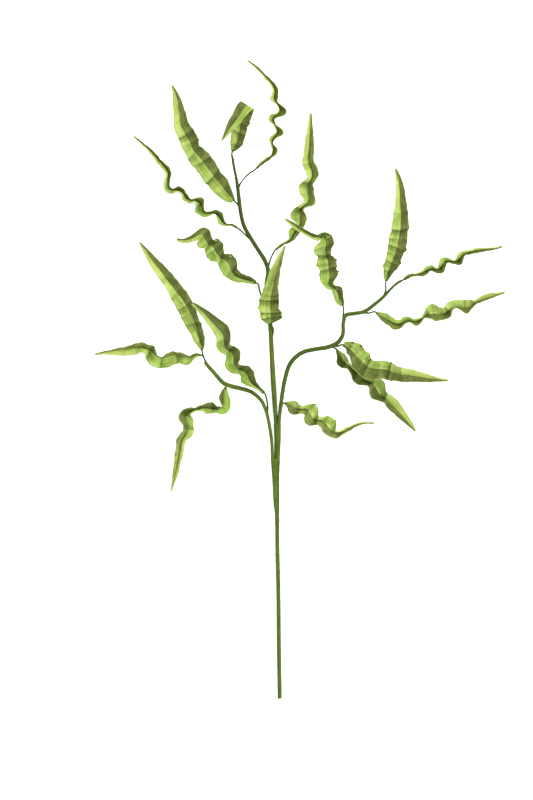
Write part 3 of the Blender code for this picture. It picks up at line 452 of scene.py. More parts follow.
        (420, 319.6, 1, 1.2, 2.4), (424.5, 316.4, 0.8, 1.9, 1.3), (429, 314.1, 0.6, 6.6, 4.3),
        (434, 313.2, 0.4, 9.3, 7.3), (440, 314.2, 0.6, 6.4, 5.1), (446, 313.9, 0.8, 5.5, 5),
        (449.5, 311, 1, 5.6, 3.2), (451.5, 307.6, 1.2, 5.6, 1.1), (455.5, 306.3, 1.5, 5.8, 1.1),
        (460.3, 307.2, 2, 6.6, 2.2), (465.5, 308.3, 2.5, 8, 5.9), (470.2, 307, 3, 6.5, 1.5),
        (475, 303.6, 4, 3.2, 1.2), (480, 301, 5, 3.4, 1.4), (488, 297.5, 6.5, 3.7, 1.9),
        (496, 294.9, 8.5, 2.2, 1.4), (505, 292.4, 11, 0.6, 0.6),
    ),
    "leaf_right_5": (
        (343.2, 345.2, 14.5, 2.8, 1), (346.5, 345.7, 16, 4.6, 2), (350, 348.8, 18, 7.6, 4.5),
        (353.3, 352.6, 21, 11, 5.2), (358.5, 358, 25, 9.6, 9.3), (363.6, 362.7, 24, 9.8, 10.5),
        (367.3, 366, 19, 7, 11), (372, 368, 23, 6.8, 10.8), (379.5, 368.8, 26, 7.6, 10),
        (386, 369.2, 25, 7.8, 9.6), (389.5, 370.3, 20, 6.5, 9.6), (394, 372.3, 24, 6.3, 8),
        (401, 374.4, 26, 6.4, 7.2), (412, 376, 28, 5.8, 5.8), (425, 378, 31, 4.3, 4),
        (437, 379.5, 34, 2, 2.2), (448, 380.5, 37, 0.7, 0.7),
    ),
    "leaf_right_6": (
        (336.8, 350.2, 8.5, 0.9, 0.9), (339.7, 355, 6, 3.3, 3), (342.5, 360, 4, 4.6, 6.9),
        (345.3, 363.5, 3, 3.5, 5.6), (348.8, 366, 2, 1.6, 1.8), (352.5, 369, 1.5, 2, 4),
        (356.7, 372.7, 1, 2.4, 7), (361, 376.5, 0.6, 2.4, 8.2), (365, 379.7, 0.4, 2.5, 6.4),
        (369.3, 381.8, 0.4, 2.3, 3.5), (373.3, 383.8, 0.6, 6.8, 5.5), (376.4, 388.5, 0.8, 9.8, 8.2),
        (379.4, 393.8, 1, 7.8, 8.2), (382.7, 397.9, 1, 5.2, 3.8), (386.4, 400, 1.2, 6, 3),
        (390.3, 403.2, 1.6, 6.8, 4.9), (396, 409, 2.5, 6.2, 4.8), (402.5, 416, 4, 4.8, 3.8),
        (409.5, 424, 6, 3, 2.2), (415.5, 431, 8, 0.7, 0.7),
    ),
    "leaf_right_7": (
        (285.2, 403.3, 9, 0.9, 0.9), (288.5, 403.5, 10, 1.5, 3.5), (291.7, 405.2, 13, 4.8, 7.5),
        (295.3, 408, 14, 5.9, 6.8), (299.5, 409.8, 10, 4, 3.4), (303.8, 409.4, 9, 2.7, 3.3),
        (307.8, 409.6, 11, 5, 6), (310.3, 412.3, 15, 8.3, 9), (312.2, 416.5, 17, 8.7, 8.7),
        (314.4, 419.6, 13, 6, 7.5), (317.8, 420.8, 10, 3, 3.5), (321.7, 421.2, 11, 4.2, 4.4),
        (325.6, 423, 14, 7.6, 7), (328.5, 426.6, 17, 8.6, 7.4), (331.3, 430.8, 17, 8.6, 5.5),
        (334.4, 433.9, 14, 3, 3.2), (338.3, 433.6, 12, 1.9, 2.2), (344, 431, 11, 2, 2.2),
        (350, 427.9, 11, 1.8, 2.2), (356, 424.8, 12, 1.4, 1.4), (363, 423.1, 13, 0.9, 0.9),
        (374, 423, 15, 0.7, 0.7),
    ),
}

# Tucks across the leaves: crease x, y, how far the cloth steps up, and how far the tuck slants.
TUCKS = {
    "leaf_centre_1": ((235, 145, 1.0, 1.5), (239, 134, 1.6, -2), (241, 124, 1.2, 1)),
    "leaf_centre_3": (
        (185.8, 135.2, 1.7, 1.5), (190.3, 144, 0.8, -1), (195, 152.3, 1.1, 3), (203, 162, 1.5, -1.5),
        (214, 177, 1.7, 2), (224, 189, 0.6, 0),
    ),
    "leaf_centre_5": (
        (231, 270.5, 1.0, 2), (221.3, 258, 1.8, 3), (214.5, 250, 1.0, -1), (208.6, 244.2, 1.8, 2),
        (203, 236.3, 0.8, 0),
    ),
    "leaf_centre_6": (
        (270.3, 317.6, 1.8, 1), (270, 313.2, 2.0, -0.5), (270, 301.3, 2.2, 1.5), (271.5, 296, 0.7, 2),
    ),
    "leaf_centre_7": ((300.3, 208.5, 1.6, 1), (309.5, 183.5, 1.4, 2), (309, 164, 0.7, -1)),
    "leaf_left_1": (
        (200, 341, 0.7, 2), (195.5, 323.5, 1.1, -2), (191, 314, 0.5, 1), (187, 306, 1.0, 1),
        (177, 293, 0.7, 2), (166, 278, 0.5, -1),
    ),
    "leaf_left_2": ((177, 354.8, 1.0, 1), (161.5, 359.3, 1.2, 0), (150, 349.5, 1.2, 1)),
    "leaf_left_3": ((213, 409, 1.0, 0), (186, 415, 1.4, 1), (187.5, 428.3, 1.0, -1)),
    "leaf_left_4": (
        (240, 369.3, 1.4, 1), (229.5, 351, 1.4, 1), (245.8, 372.3, 0.9, 0), (223.5, 341, 0.5, -1),
    ),
    "leaf_right_1": (
        (334.3, 288.3, 1.4, 0), (328.9, 269.2, 2.2, 2), (325.9, 255.8, 2.2, -1.5), (328.3, 264.3, 0.6, 0),
        (325.2, 247, 0.7, 1), (321, 236.9, 1.4, 0),
    ),
    "leaf_right_2": (
        (388.5, 271.5, 0.9, 1), (391.6, 263.2, 2.0, -1), (394.6, 255, 0.7, 1), (396.8, 248, 2.2, -1.5),
        (398.6, 239, 0.7, 1), (400, 231, 2.0, 1.5), (400.5, 214, 0.6, 0),
    ),
    "leaf_right_3": ((441.5, 268, 1.0, 0), (459.5, 260.5, 1.0, 0)),
    "leaf_right_4": ((429, 314.1, 1.2, 1), (449, 311.5, 1.2, 1), (434, 313.2, 0.7, 0), (465.5, 308, 0.8, -1)),
    "leaf_right_5": (
        (350, 348.8, 1.2, 1), (355, 354.5, 0.6, -2), (361, 360.5, 0.5, 2), (367.3, 366, 2.0, 0),
        (378, 368.8, 0.7, 1), (389.5, 370.3, 2.2, 1), (400.5, 374.3, 0.8, 2),
    ),
    "leaf_right_6": (
        (345.3, 363.5, 1.0, 1), (356.7, 372.7, 0.9, 1), (371, 382.7, 1.4, 0), (384, 399, 1.4, 1),
    ),
    "leaf_right_7": (
        (299.5, 409.8, 1.4, 0), (308.5, 410.4, 0.9, 1), (316.5, 420.4, 1.5, 1), (333, 432.8, 1.0, 0),
    ),
}

# Nubs on the cut edges: x, y, how far the edge stands out or in there, and half the nub's length.
NUBS = {
    "leaf_centre_1": ((249, 123, 1.6, 1.2), (247.5, 127, -1.2, 1.2)),
    "leaf_centre_3": (
        (198.5, 141, 1.4, 2.0), (199, 146, -1.2, 2.0), (207.5, 154, 1.2, 2.0), (193.5, 165, 0.9, 1.5),
    ),
    "leaf_centre_5": (
        (217, 238, 2.4, 1.8), (200, 248, 1.6, 1.5), (209, 262, 1.2, 1.5), (232.5, 254.5, 1.6, 2.0),
    ),
    "leaf_centre_6": (
        (258, 308, 2.6, 1.0), (279, 303, 1.2, 1.0), (281, 313.5, 1.4, 1.2), (260, 300, 0.8, 1.5),
        (280, 309, -1.2, 1.5),
    ),
    "leaf_left_1": ((189.5, 331.5, 1.0, 1.5), (172.5, 299, 1.0, 1.5)),
    "leaf_left_2": ((155, 345.5, 1.5, 1.5), (176, 366, 1.0, 2.0)),
    "leaf_right_1": (
        (316.5, 266.5, 1.8, 1.2), (337.5, 272.5, 2.4, 1.2), (336, 259, 1.8, 1.2), (331, 255, -1.5, 1.5),
    ),
    "leaf_right_2": (
        (379, 264, 1.4, 1.2), (399.5, 263.5, 1.6, 1.2), (404.5, 249.5, 1.4, 1.2), (387, 248, 0.8, 1.2),
    ),
    "leaf_right_4": ((441, 306.5, 1.0, 1.5), (470, 300.5, 1.2, 1.5)),
    "leaf_right_5": ((391, 364.5, 1.4, 1.2), (389.5, 380.5, 0.8, 1.5), (401, 382, 0.9, 1.2)),
    "leaf_right_7": ((315.5, 402, 1.8, 1.5), (327.5, 414.5, 1.8, 1.5)),
}

# Edges rolled up into little scrolls: x, y, height, radius, and the way each opens in degrees.
SCROLLS = {
    "leaf_centre_5": ((216, 239.5, 24, 2.2, 200), (230.5, 255.5, 21, 2.0, 220)),
    "leaf_right_1": ((327.5, 235.5, 33, 2.6, 240), (317.5, 235, 34, 2.2, 290), (336.5, 287.5, 17, 2.6, 200)),
    "leaf_right_5": ((360.3, 346.5, 25, 2.6, 210), (368.8, 357.3, 26, 1.9, 220)),
    "leaf_right_7": ((316, 403.5, 15, 1.8, 230), (334.5, 421, 16, 1.8, 230)),
}

# How much wider than in its table a leaf lies, on each side, in millimetres.
LEAF_MARGINS = {"leaf_centre_5": 0.8, "leaf_left_4": 0.7, "leaf_right_1": 0.2, "leaf_right_3": 0.3}

# How much darker than the rest each leaf is, in even steps from foot to tip, or paler below nought.
LEAF_TONES = {
    "leaf_centre_1": (0.0, 0.15, 0.55, 0.55), "leaf_centre_2": (-0.1, -0.15, 0.1),
    "leaf_centre_3": (0.15, 0.1),
    "leaf_centre_4": (0.3, 0.2, 0.4), "leaf_centre_5": (0.5, 0.4), "leaf_centre_6": (0.1, -0.1, -0.7),
    "leaf_centre_7": (-0.1, -0.2, -0.25), "leaf_left_1": (0.2, 0.0, 0.05), "leaf_left_2": (-0.15, -0.2),
    "leaf_left_3": (0.1, 0.4, -0.25, -0.65, -0.75), "leaf_left_4": (0.5, 0.5, 0.8),
    "leaf_right_1": (0.2, 0.1),
    "leaf_right_2": (0.25, 0.1), "leaf_right_3": (0.05, 0.1, 0.0), "leaf_right_4": (-0.1, -0.15),
    "leaf_right_5": (0.15, 0.0), "leaf_right_6": (0.2, 0.3, 0.45), "leaf_right_7": (-0.3, -0.3),
}


def length_choice(name, description, default):
    """A length that a user may change, given in millimetres."""
    return bpy.props.FloatProperty(name=name, description=description, default=default * MM, unit="LENGTH")


def colour_choice(name, description, default):
    """A colour that a user may change."""
    return bpy.props.FloatVectorProperty(
        name=name, description=description, default=default, subtype="COLOR"
    )


class FrondSizes(bpy.types.PropertyGroup):
    """Sizes of the cloth, the tape and the stage."""

    blade_half_width: length_choice("Blade half width", "Half the width of a leaf's cloth, laid flat", 11.5)
    cloth: length_choice("Cloth", "How thick a leaf's cloth is", 0.45)
    blade_step: length_choice("Blade step", "How far apart the rows of a leaf's mesh are", 0.9)
    blade_columns: bpy.props.IntProperty(
        name="Blade columns",
        description="How many strips a leaf has from edge to edge",
        default=20,
        min=4,
    )
    cupping: bpy.props.FloatProperty(
        name="Cupping",
        description="How far each half of a leaf bows outwards, as a share of its width",
        default=0.07,
    )
    ruffle: length_choice("Ruffle", "How far a leaf's cut edges wave up and down", 0.25)
    wire_radius: length_choice("Wire radius", "Half the thickness of a leaf's wire", 1.05)
    tape_build: length_choice("Tape build-up", "How much the wound tape thickens a stem all round", 0.8)
    tape_ridge: length_choice("Tape ridge", "How far the edge of the wound tape stands up", 0.12)
    tape_pitch: length_choice("Tape pitch", "How far the tape climbs in one turn", 9.0)
    camera_distance: length_choice("Camera distance", "How high over the surface the camera hangs", 15000.0)


class FrondColours(bpy.types.PropertyGroup):
    """Colours of the cloth, the tape and the stage."""

    light_green: colour_choice("Light green", "The left half of a leaf", (0.25, 0.325, 0.06))
    # Painted light on the left half where it curls, in a greener green.
    curl_lit_green: colour_choice("Fresh green", "The left half of a leaf where it curls", (0.29, 0.48, 0.065))
    # The darker half is partly the cloth's own tone and partly painted shade.
    shaded_olive: colour_choice("Olive", "The right half of a leaf", (0.088, 0.105, 0.019))
    # Painted shade on the right half where it curls.
    curl_shade_olive: colour_choice("Fresh olive", "The right half where it curls", (0.055, 0.085, 0.011))
    # Painted shade deep in the folds and pinches, on the left half and then on the right.
    fold_shade_green: colour_choice("Fold green", "Cloth that is pinched or folded shut", (0.10, 0.165, 0.02))
    fold_shade_olive: colour_choice("Deep olive", "The right half, deep in its fold", (0.035, 0.05, 0.009))
    # Pale grain, and painted highlight on pleats and tuck crests, on the left half; the next on the right.
    grain_and_highlight_green: colour_choice("Pale green", "Pale grain and painted highlights on the left half", (0.33, 0.40, 0.13))
    grain_and_highlight_olive: colour_choice("Pale olive", "Pale grain and painted highlights on the right half", (0.155, 0.185, 0.048))
    tip_yellow: colour_choice("Tip yellow", "The cloth towards the tip of a leaf", (0.31, 0.36, 0.09))
    # Painted shadow along the line of a tuck.
    tuck_shadow_green: colour_choice("Tuck green", "The line of a tuck across a leaf", (0.022, 0.04, 0.006))
    pale_edge: colour_choice("Pale edge", "The cut edge of a leaf's cloth", (0.36, 0.47, 0.13))
    tape: colour_choice("Tape", "The tape round the stems", (0.064, 0.104, 0.009))
    # Also the colour of the painted shade on the stems.
    tape_dark: colour_choice("Dark tape", "Streaks and overlaps of the tape", (0.024, 0.04, 0.003))
    floor: colour_choice("Surface", "The surface that the spray lies on", (0.97, 0.97, 0.965))


def stem_foot():
    """Where the middle of the stem's cut end lies in the frame, in millimetres."""
    spots = np.array([vertex.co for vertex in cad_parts["main_stem"].data.vertices]) / MM
    ring = spots[spots[:, 1] < spots[:, 1].min() + FOOT_RUN]
    return (ring[:, :2].min(axis=0) + ring[:, :2].max(axis=0)) / 2


FOOT = stem_foot()


def to_table(rows):
    """Rows from the photograph, with their x, y and height as millimetres in the frame."""
    table = np.array(rows, dtype=float)
    table[:, 0] = FOOT[0] + (table[:, 0] - FOOT_X) * PIXEL
    table[:, 1] = FOOT[1] + (FOOT_Y - table[:, 1]) * PIXEL
    return table


def nearest_row(x, y, crease):
    """A place in the photograph as a spot in plan, and the row of a crease that is nearest to it."""
    spot = to_table(((x, y, 0.0),))[0, :2]
    return spot, np.argmin(np.linalg.norm(crease[:, :2] - spot, axis=1))


def run_lengths(rows):
    """How far each row lies along its route."""
    return np.concatenate(([0.0], np.cumsum(np.linalg.norm(np.diff(rows[:, :3], axis=0), axis=1))))


def smooth_rows(rows, step):
    """Rows on the smooth curve through the given rows, about a step apart along it."""
    chord = run_lengths(rows)
    slope = np.gradient(rows, chord, axis=0)
    at = np.linspace(0.0, chord[-1], FINE_SAMPLES * len(rows))
    left = np.clip(np.searchsorted(chord, at, side="right") - 1, 0, len(rows) - 2)
    span = (chord[left + 1] - chord[left])[:, None]
    part = (at - chord[left])[:, None] / span
    fine = (
        (2 * part**3 - 3 * part**2 + 1) * rows[left]
        + (part**3 - 2 * part**2 + part) * span * slope[left]
        + (3 * part**2 - 2 * part**3) * rows[left + 1]
        + (part**3 - part**2) * span * slope[left + 1]
    )
    lengths = run_lengths(fine)
    even = np.linspace(0.0, lengths[-1], max(LEAST_STEPS, round(lengths[-1] / step)) + 1)
    columns = [np.interp(even, lengths, fine[:, column]) for column in range(rows.shape[1])]
    return even, np.stack(columns, axis=1)


def unit(vectors):
    """Each row of a list of vectors, one long."""
    return vectors / np.maximum(np.linalg.norm(vectors, axis=1, keepdims=True), SMALL)


def eased(values, run, step):
    """Rows of numbers smoothed along a leaf, with its two ends kept."""
    pad = round(EASE_SPREADS * run / step)
    weights = np.exp(-0.5 * (np.arange(-pad, pad + 1) * step / run) ** 2)
    padded = np.pad(values, ((pad, pad), (0, 0)), mode="reflect", reflect_type="odd")
    columns = [np.convolve(column, weights / weights.sum(), mode="valid") for column in padded.T]
    return np.stack(columns, axis=1)


def leftward(table, face):
    """For each row of a blade, the level direction from its crease to its left edge."""
    run = unit(np.diff(table[:, :2], axis=0)) * face[1:, None]
    near = np.zeros((len(table), 2))
    wide = np.zeros((len(table), 2))
    for row in range(len(table)):
        near[row] = run[max(0, row - 1):row + 1].sum(axis=0)
        wide[row] = run[max(0, row - STEADY_ROWS):row + STEADY_ROWS].sum(axis=0)
    heading = unit((1 - STEADINESS) * unit(near) + STEADINESS * unit(wide))
    return np.stack([-heading[:, 1], heading[:, 0]], axis=1)


def blade_half_width(along, length, widest):
    """Half the width of the flat blade at distances along it: a short foot, then a long point."""
    widths = []
    for end_width, reach, taper in (
        (BLADE_BASE_HALF_WIDTH, along, BASE_TAPER),
        (BLADE_TIP_HALF_WIDTH, length - along, TIP_TAPER),
    ):
        swell = np.sin(np.clip(reach / taper, 0.0, 1.0) * math.pi / 2)
        widths.append(end_width + (widest - end_width) * swell)
    return np.minimum(*widths)


def tuck_shape(leaf, along, crease, across, draw):
    """How far tucks lift the cloth along one line of a leaf, and the painted shadow and painted highlight
    that they put there.
    """
    lift = np.zeros(len(along))
    dark = np.zeros(len(along))
    pale = np.zeros(len(along))
    for x, y, depth, slant in TUCKS.get(leaf, ()):
        at = along[nearest_row(x, y, crease)[1]]
        bend, deeper = draw.uniform(-1.0, 1.0, 2)
        ahead = along - at + slant * across + TUCK_BEND * bend * across**2
        depth = depth * (1 + TUCK_SIDES * deeper * across)
        step = 1 / (1 + np.exp(-ahead / TUCK_EDGE))
        lift += depth * step * np.exp(-np.maximum(ahead, 0) / TUCK_RUN)
        line = np.exp(-((ahead + TUCK_EDGE) / TUCK_LINE) ** 2)
        shade = TUCK_SHADE * np.exp(-((ahead + TUCK_SPREAD / 2) / TUCK_SPREAD) ** 2)
        crest = np.exp(-((ahead - TUCK_CREST) / TUCK_CREST) ** 2)
        weight = np.clip(depth / DEEP_TUCK, 0, 1)
        dark = np.maximum(dark, np.maximum(line, shade) * weight)
        pale = np.maximum(pale, crest * weight)
    return lift, dark - np.clip(pale - dark, 0, 1)


def nub_shape(leaf, along, crease, level):
    """How much further the left and right edges of a leaf reach at each row for their nubs."""
    extra = np.zeros((len(along), 2))
    for x, y, amount, run in NUBS.get(leaf, ()):
        spot, row = nearest_row(x, y, crease)
        side = 0 if np.dot(spot - crease[row, :2], level[row]) > 0 else 1
        extra[:, side] += amount * np.exp(-((along - along[row]) / run) ** 2)
    return extra


def blade_bends(full, along):
    """How fast a leaf turns left at each row, per millimetre, and how curly it is there, from 0 to 1."""
    level = unit(full[:, LEVEL])
    turn = np.gradient(np.unwrap(np.arctan2(level[:, 1], level[:, 0])), along) * np.sign(full[:, LIFT])
    curl = np.clip(eased(np.abs(turn)[:, None], CURL_RUN, along[1])[:, 0] / CURLY, 0.0, 1.0)
    return turn, curl


def blade_reaches(leaf, full, half, along):
    """How far each half of a leaf reaches in plan: wider outside a tight bend, narrower inside it."""
    turn, curl = blade_bends(full, along)
    margin = STRAIGHT_MARGIN + CURLY_MARGIN * curl + LEAF_MARGINS.get(leaf, 0.0)
    least = np.minimum(half, LEAST_REACH)
    reaches = []
    for reach, side in zip(full[:, REACHES].T, SIDES):
        shut = np.clip(1 - reach / half, 0.0, 1.0)
        flare = np.minimum(BEND_FLARE * np.maximum(-turn * side, 0.0) * half**2, MOST_FLARE) * shut**2
        limit = INNER_SHARE / np.maximum(turn * side, SMALL)
        reaches.append(np.maximum(np.minimum(reach + flare + margin, limit), least))
    return np.maximum(eased(np.stack(reaches, axis=1), EASE_RUN, along[1]), SMALL)


def crease_shift(full, reaches, along):
    """How far left the crease moves at each row, so that in curls it keeps to the inside of each bend."""
    straight = eased(full[:, :2], STRAIGHTEN_RUN, along[1])
    shift = ((straight - full[:, :2]) * unit(full[:, LEVEL])).sum(axis=1) * blade_bends(full, along)[1]
    room = np.maximum(reaches - INNER_RIM, 0.0)
    return eased(np.clip(shift, -room[:, 1], room[:, 0])[:, None], EASE_RUN, along[1])


def blade_rows(leaf, sizes):
    """Even rows along a leaf: how far along each lies, its columns, and half the flat cloth's width."""
    table = to_table(LEAVES[leaf])
    face = np.where(table[:, REACHES].sum(axis=1) < 0, -1.0, 1.0)
    lift = np.convolve(np.pad(face, LIFT_PAD, mode="edge"), LIFT_BLEND, mode="valid")
    reach = np.abs(table[:, REACHES]) * PIXEL
    full = np.column_stack([table[:, :3], reach, lift, leftward(table, face)])
    along, full = smooth_rows(full, sizes.blade_step / MM)
    full = np.hstack([eased(full[:, :3], CREASE_RUN, along[1]), eased(full[:, 3:], EASE_RUN, along[1])])
    return along, full, blade_half_width(along, along[-1], sizes.blade_half_width / MM)


def blade_surface(leaf, sizes):
    """Points of a leaf's cloth, row by row from its left edge to its right, and what shades them."""
    along, full, half = blade_rows(leaf, sizes)
    level = unit(full[:, LEVEL])
    reaches = blade_reaches(leaf, full, half, along)
    shift = crease_shift(full, reaches, along)
    crease = full[:, :3] + np.hstack([level * shift, np.zeros((len(along), 1))])
    reaches = np.maximum(reaches + shift * (-1.0, 1.0), SMALL)
    reaches = np.maximum(reaches + nub_shape(leaf, along, crease, level), SMALL)
    seed = sorted(LEAVES).index(leaf)
    phases = np.random.default_rng(seed).uniform(0, math.tau, (2, len(RUFFLE_TURNS)))
    broad = np.minimum(half / (sizes.blade_half_width / MM), 1.0)
    curl = blade_bends(full, along)[1]
    spots = []
    shades = {"fold": [], "tuck": [], "curl": []}
    for across in np.linspace(1.0, -1.0, sizes.blade_columns + 1):
        side = 0 if across > 0 else 1
        share = abs(across)
        out = reaches[:, side]
        shut = np.clip(1 - out / half, 0.0, 1.0)
        up = half * np.cos(np.clip(out / half, 0.0, 1.0) * math.pi / 2)
        width = np.hypot(out, up)
        wave = sum(
            np.sin(along * turn + phase + WAVE_SLANT * across)
            for turn, phase in zip(RUFFLE_TURNS, phases[side])
        )
        bow = sizes.cupping * width * math.sin(math.pi * share) * (1 - shut)
        bow = bow + sizes.ruffle / MM * wave * share * broad
        lift, dark = tuck_shape(leaf, along, crease, across, np.random.default_rng(seed))
        edge = out * (1 + EDGE_WAVE * wave * share) * share ** (1 + SHUT_FLARE * shut)
        outward = edge + bow * up / width + lift * TUCK_FLARE * share
        rise = up * (1 - (1 - share) ** (1 + SHUT_RISE * shut)) - bow * out / width
        rise = rise * full[:, LIFT] + lift * (1 - TUCK_FADE * share)
        sideways = level * (np.sign(across) * outward)[:, None]
        spots.append(crease + np.column_stack([sideways, rise]))
        # Painted shade deep in the crease where a half is folded shut.
        shades["fold"].append(shut * (1 - share) ** 2 * broad)
        # A tuck's painted shadow line, and its painted highlight below nought.
        shades["tuck"].append(dark)
        shades["curl"].append(curl)
    points = np.stack(spots, axis=1)
    points[:, :, 2] = np.maximum(points[:, :, 2], FLOOR_CLEARANCE + sizes.cloth / MM / 2)
    return along, points, {name: np.stack(columns, axis=1) for name, columns in shades.items()}


def link(name, data):
    """An object in the scene for a mesh, a lamp or a camera."""
    made = bpy.data.objects.new(name, data)
    bpy.context.scene.collection.objects.link(made)
    return made


def to_object(name, shape, materials):
    """An object made from a finished shape and its materials."""
    mesh = bpy.data.meshes.new(name)
    shape.to_mesh(mesh)
    shape.free()
    for material in materials:
        mesh.materials.append(material)
    return link(name, mesh)


def add_piece(name, shape, nodes, materials):
    """A finished piece that rides with the frond and stands for the named CAD nodes."""
    piece = to_object(name, shape, materials)
    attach(piece, "root")
    if nodes:
        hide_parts(*nodes)
    return piece


def add_grid(shape, columns, rows, layer, length, start=(0.0, 0.0), width=1.0):
    """Add a smooth flat grid from -1 to 1 each way, laid on a map, and give its corners."""
    corners = bmesh.ops.create_grid(shape, x_segments=columns, y_segments=rows, size=1.0)["verts"]
    for face in {face for corner in corners for face in corner.link_faces}:
        for loop in face.loops:
            wide = (loop.vert.co.x + 1) / 2
            far = (loop.vert.co.y + 1) / 2
            loop[layer].uv = (start[0] + width * wide, start[1] + far * length / UV_ALONG)
        face.smooth = True
    return corners


def close_round(shape, corners):
    """Join the seam of a grid that is wound round a stem, and close its ends."""
    bmesh.ops.remove_doubles(shape, verts=corners, dist=SMALL)
    rims = [edge for edge in shape.edges if edge.is_boundary]
    bmesh.ops.holes_fill(shape, edges=rims, sides=0)


def make_leaf(leaf, sizes, materials):
    """A leaf's cloth: a creased, waved strip with a thin wall, its two faces and its cut edge apart."""
    along, spots, shades = blade_surface(leaf, sizes)
    rows = len(along) - 1
    columns = sizes.blade_columns
    shape = bmesh.new()
    layers = {name: shape.verts.layers.float.new(name) for name in CLOTH_LAYERS}
    blade_map = shape.loops.layers.uv.new("blade")
    for corner in add_grid(shape, columns, rows, blade_map, along[-1]):
        column = round((1 - corner.co.x) / 2 * columns)
        row = round((corner.co.y + 1) / 2 * rows)
        for name, values in shades.items():
            corner[layers[name]] = values[row, column]
        corner[layers["rim"]] = abs(corner.co.x)
        corner[layers["reach"]] = row / rows
        corner.co = spots[row, column] * MM
    for scroll in SCROLLS.get(leaf, ()):
        add_scroll(shape, scroll, layers, blade_map)
    tone_steps = np.linspace(0.0, 1.0, len(LEAF_TONES[leaf]))
    for corner in shape.verts:
        corner[layers["tone"]] = np.interp(corner[layers["reach"]], tone_steps, LEAF_TONES[leaf])
    bmesh.ops.reverse_faces(shape, faces=shape.faces[:])
    piece = add_piece(leaf + "_cloth", shape, (leaf,), materials)
    wall = piece.modifiers.new("wall", "SOLIDIFY")
    wall.thickness = sizes.cloth
    wall.offset = 0.0
    wall.use_quality_normals = True
    wall.material_offset = 1
    wall.material_offset_rim = 2


def add_scroll(shape, scroll, layers, blade_map):
    """Add a bit of cut edge that has rolled up, standing on end."""
    x, y, height, radius, opening = scroll
    middle = Vector(to_table(((x, y, height),))[0])
    place = (SCROLL_MAP_LENGTH, SCROLL_MAP_START, SCROLL_MAP_WIDTH)
    for corner in add_grid(shape, SCROLL_COLUMNS, SCROLL_ROWS, blade_map, *place):
        wound = (corner.co.x + 1) / 2
        share = corner.co.y
        angle = math.radians(opening) + wound * SCROLL_TURNS * math.tau
        out = radius * (1 - SCROLL_TIGHTENS * wound) * (1 + SCROLL_WIDENS * share)
        corner[layers["rim"]] = SCROLL_RIM + (1 - SCROLL_RIM) * max(share, 0)
        # Painted shade deeper into the roll.
        corner[layers["fold"]] = SCROLL_FOLD * wound
        corner[layers["reach"]] = SCROLL_REACH
        offset = Vector((math.cos(angle) * out, math.sin(angle) * out, share * SCROLL_HEIGHT))
        corner.co = (middle + offset) * MM


def add_tube(shape, table, sides, ridge, pitch, darkening):
    """Add a round rod along a route of x, y, height and radius, with tape wound round it."""
    along, rows = smooth_rows(table, STEM_STEP)
    count = len(rows) - 1
    heading = unit(np.gradient(rows[:, :3], axis=0))
    sideways = unit(np.column_stack([heading[:, 1], -heading[:, 0], np.zeros(count + 1)]))
    upward = np.cross(sideways, heading)
    tone_and_shade = shape.verts.layers.float["tone_and_shade"]
    corners = add_grid(shape, sides, count, shape.loops.layers.uv["tape"], along[-1])
    for corner in corners:
        turn = (corner.co.x + 1) / 2
        row = round((corner.co.y + 1) / 2 * count)
        overlap = (along[row] / pitch - turn) % 1.0 if pitch else 0.0
        radius = rows[row, RADIUS] + ridge * (overlap**3 - RIDGE_SINKS)
        angle = math.tau * turn
        # Partly painted shade, partly the tape's own darker tone.
        corner[tone_and_shade] = np.interp(FOOT_Y - (rows[row, 1] - FOOT[1]) / PIXEL, *darkening)
        outward = math.cos(angle) * sideways[row] + math.sin(angle) * upward[row]
        corner.co = Vector(rows[row, :3] + radius * outward) * MM
        corner.co.z = max(corner.co.z, FLOOR_CLEARANCE * MM)
    close_round(shape, corners)


def seat_of(leaf, sizes):
    """The last run of a leaf's wire: in line with the crease, and on a little way into the cloth."""
    crease = blade_surface(leaf, sizes)[1][:, sizes.blade_columns // 2]
    heading = unit(crease[2:3] - crease[0:1])[0]
    return [crease[0] - heading * SEAT_RUN, crease[0] + heading * SEAT_OVERLAP]


def show_core(shape):
    """Let the bare wire stand out a little from the middle of the stem's cut end."""
    cut = min(shape.faces, key=lambda face: face.calc_center_median().y)
    radius = max((corner.co - cut.calc_center_median()).length for corner in cut.verts)
    bevel = CORE_BEVEL * MM
    bmesh.ops.inset_individual(shape, faces=[cut], thickness=radius - CORE_RADIUS * MM)
    walls = bmesh.ops.inset_individual(shape, faces=[cut], thickness=bevel, depth=bevel)
    for face in (cut, *walls["faces"]):
        face.material_index = 1


def make_stem(node, sizes, materials):
    """A taped stem with the leaf wires that branch from it."""
    route, end_leaf = STEMS[node]
    wire = sizes.wire_radius / MM
    table = to_table(route)
    table[:, RADIUS] += sizes.tape_build / MM * np.interp(np.array(route)[:, 1], BUILD_ROWS, BUILD_SHARES)
    if end_leaf:
        table = np.vstack([table, [[*spot, wire] for spot in seat_of(end_leaf, sizes)]])
    shape = bmesh.new()
    shape.loops.layers.uv.new("tape")
    shape.verts.layers.float.new("tone_and_shade")
    darkening = np.array(TAPE_TONE_AND_SHADE[node]).T
    add_tube(shape, table, STEM_SIDES, sizes.tape_ridge / MM, sizes.tape_pitch / MM, darkening)
    for leaf, (parent, wire_route) in WIRES.items():
        if parent == node:
            wire_table = np.vstack([to_table(wire_route), seat_of(leaf, sizes)])
            radii = np.full(len(wire_table), wire)
            radii[0] *= JOINT_SWELL
            wire_table = np.column_stack([wire_table, radii])
            add_tube(shape, wire_table, WIRE_SIDES, 0.0, 0.0, ((0,), (WIRE_DARKNESS,)))
    bmesh.ops.recalc_face_normals(shape, faces=shape.faces[:])
    if node == "main_stem":
        show_core(shape)
    add_piece(node + "_tape", shape, (node,), materials)


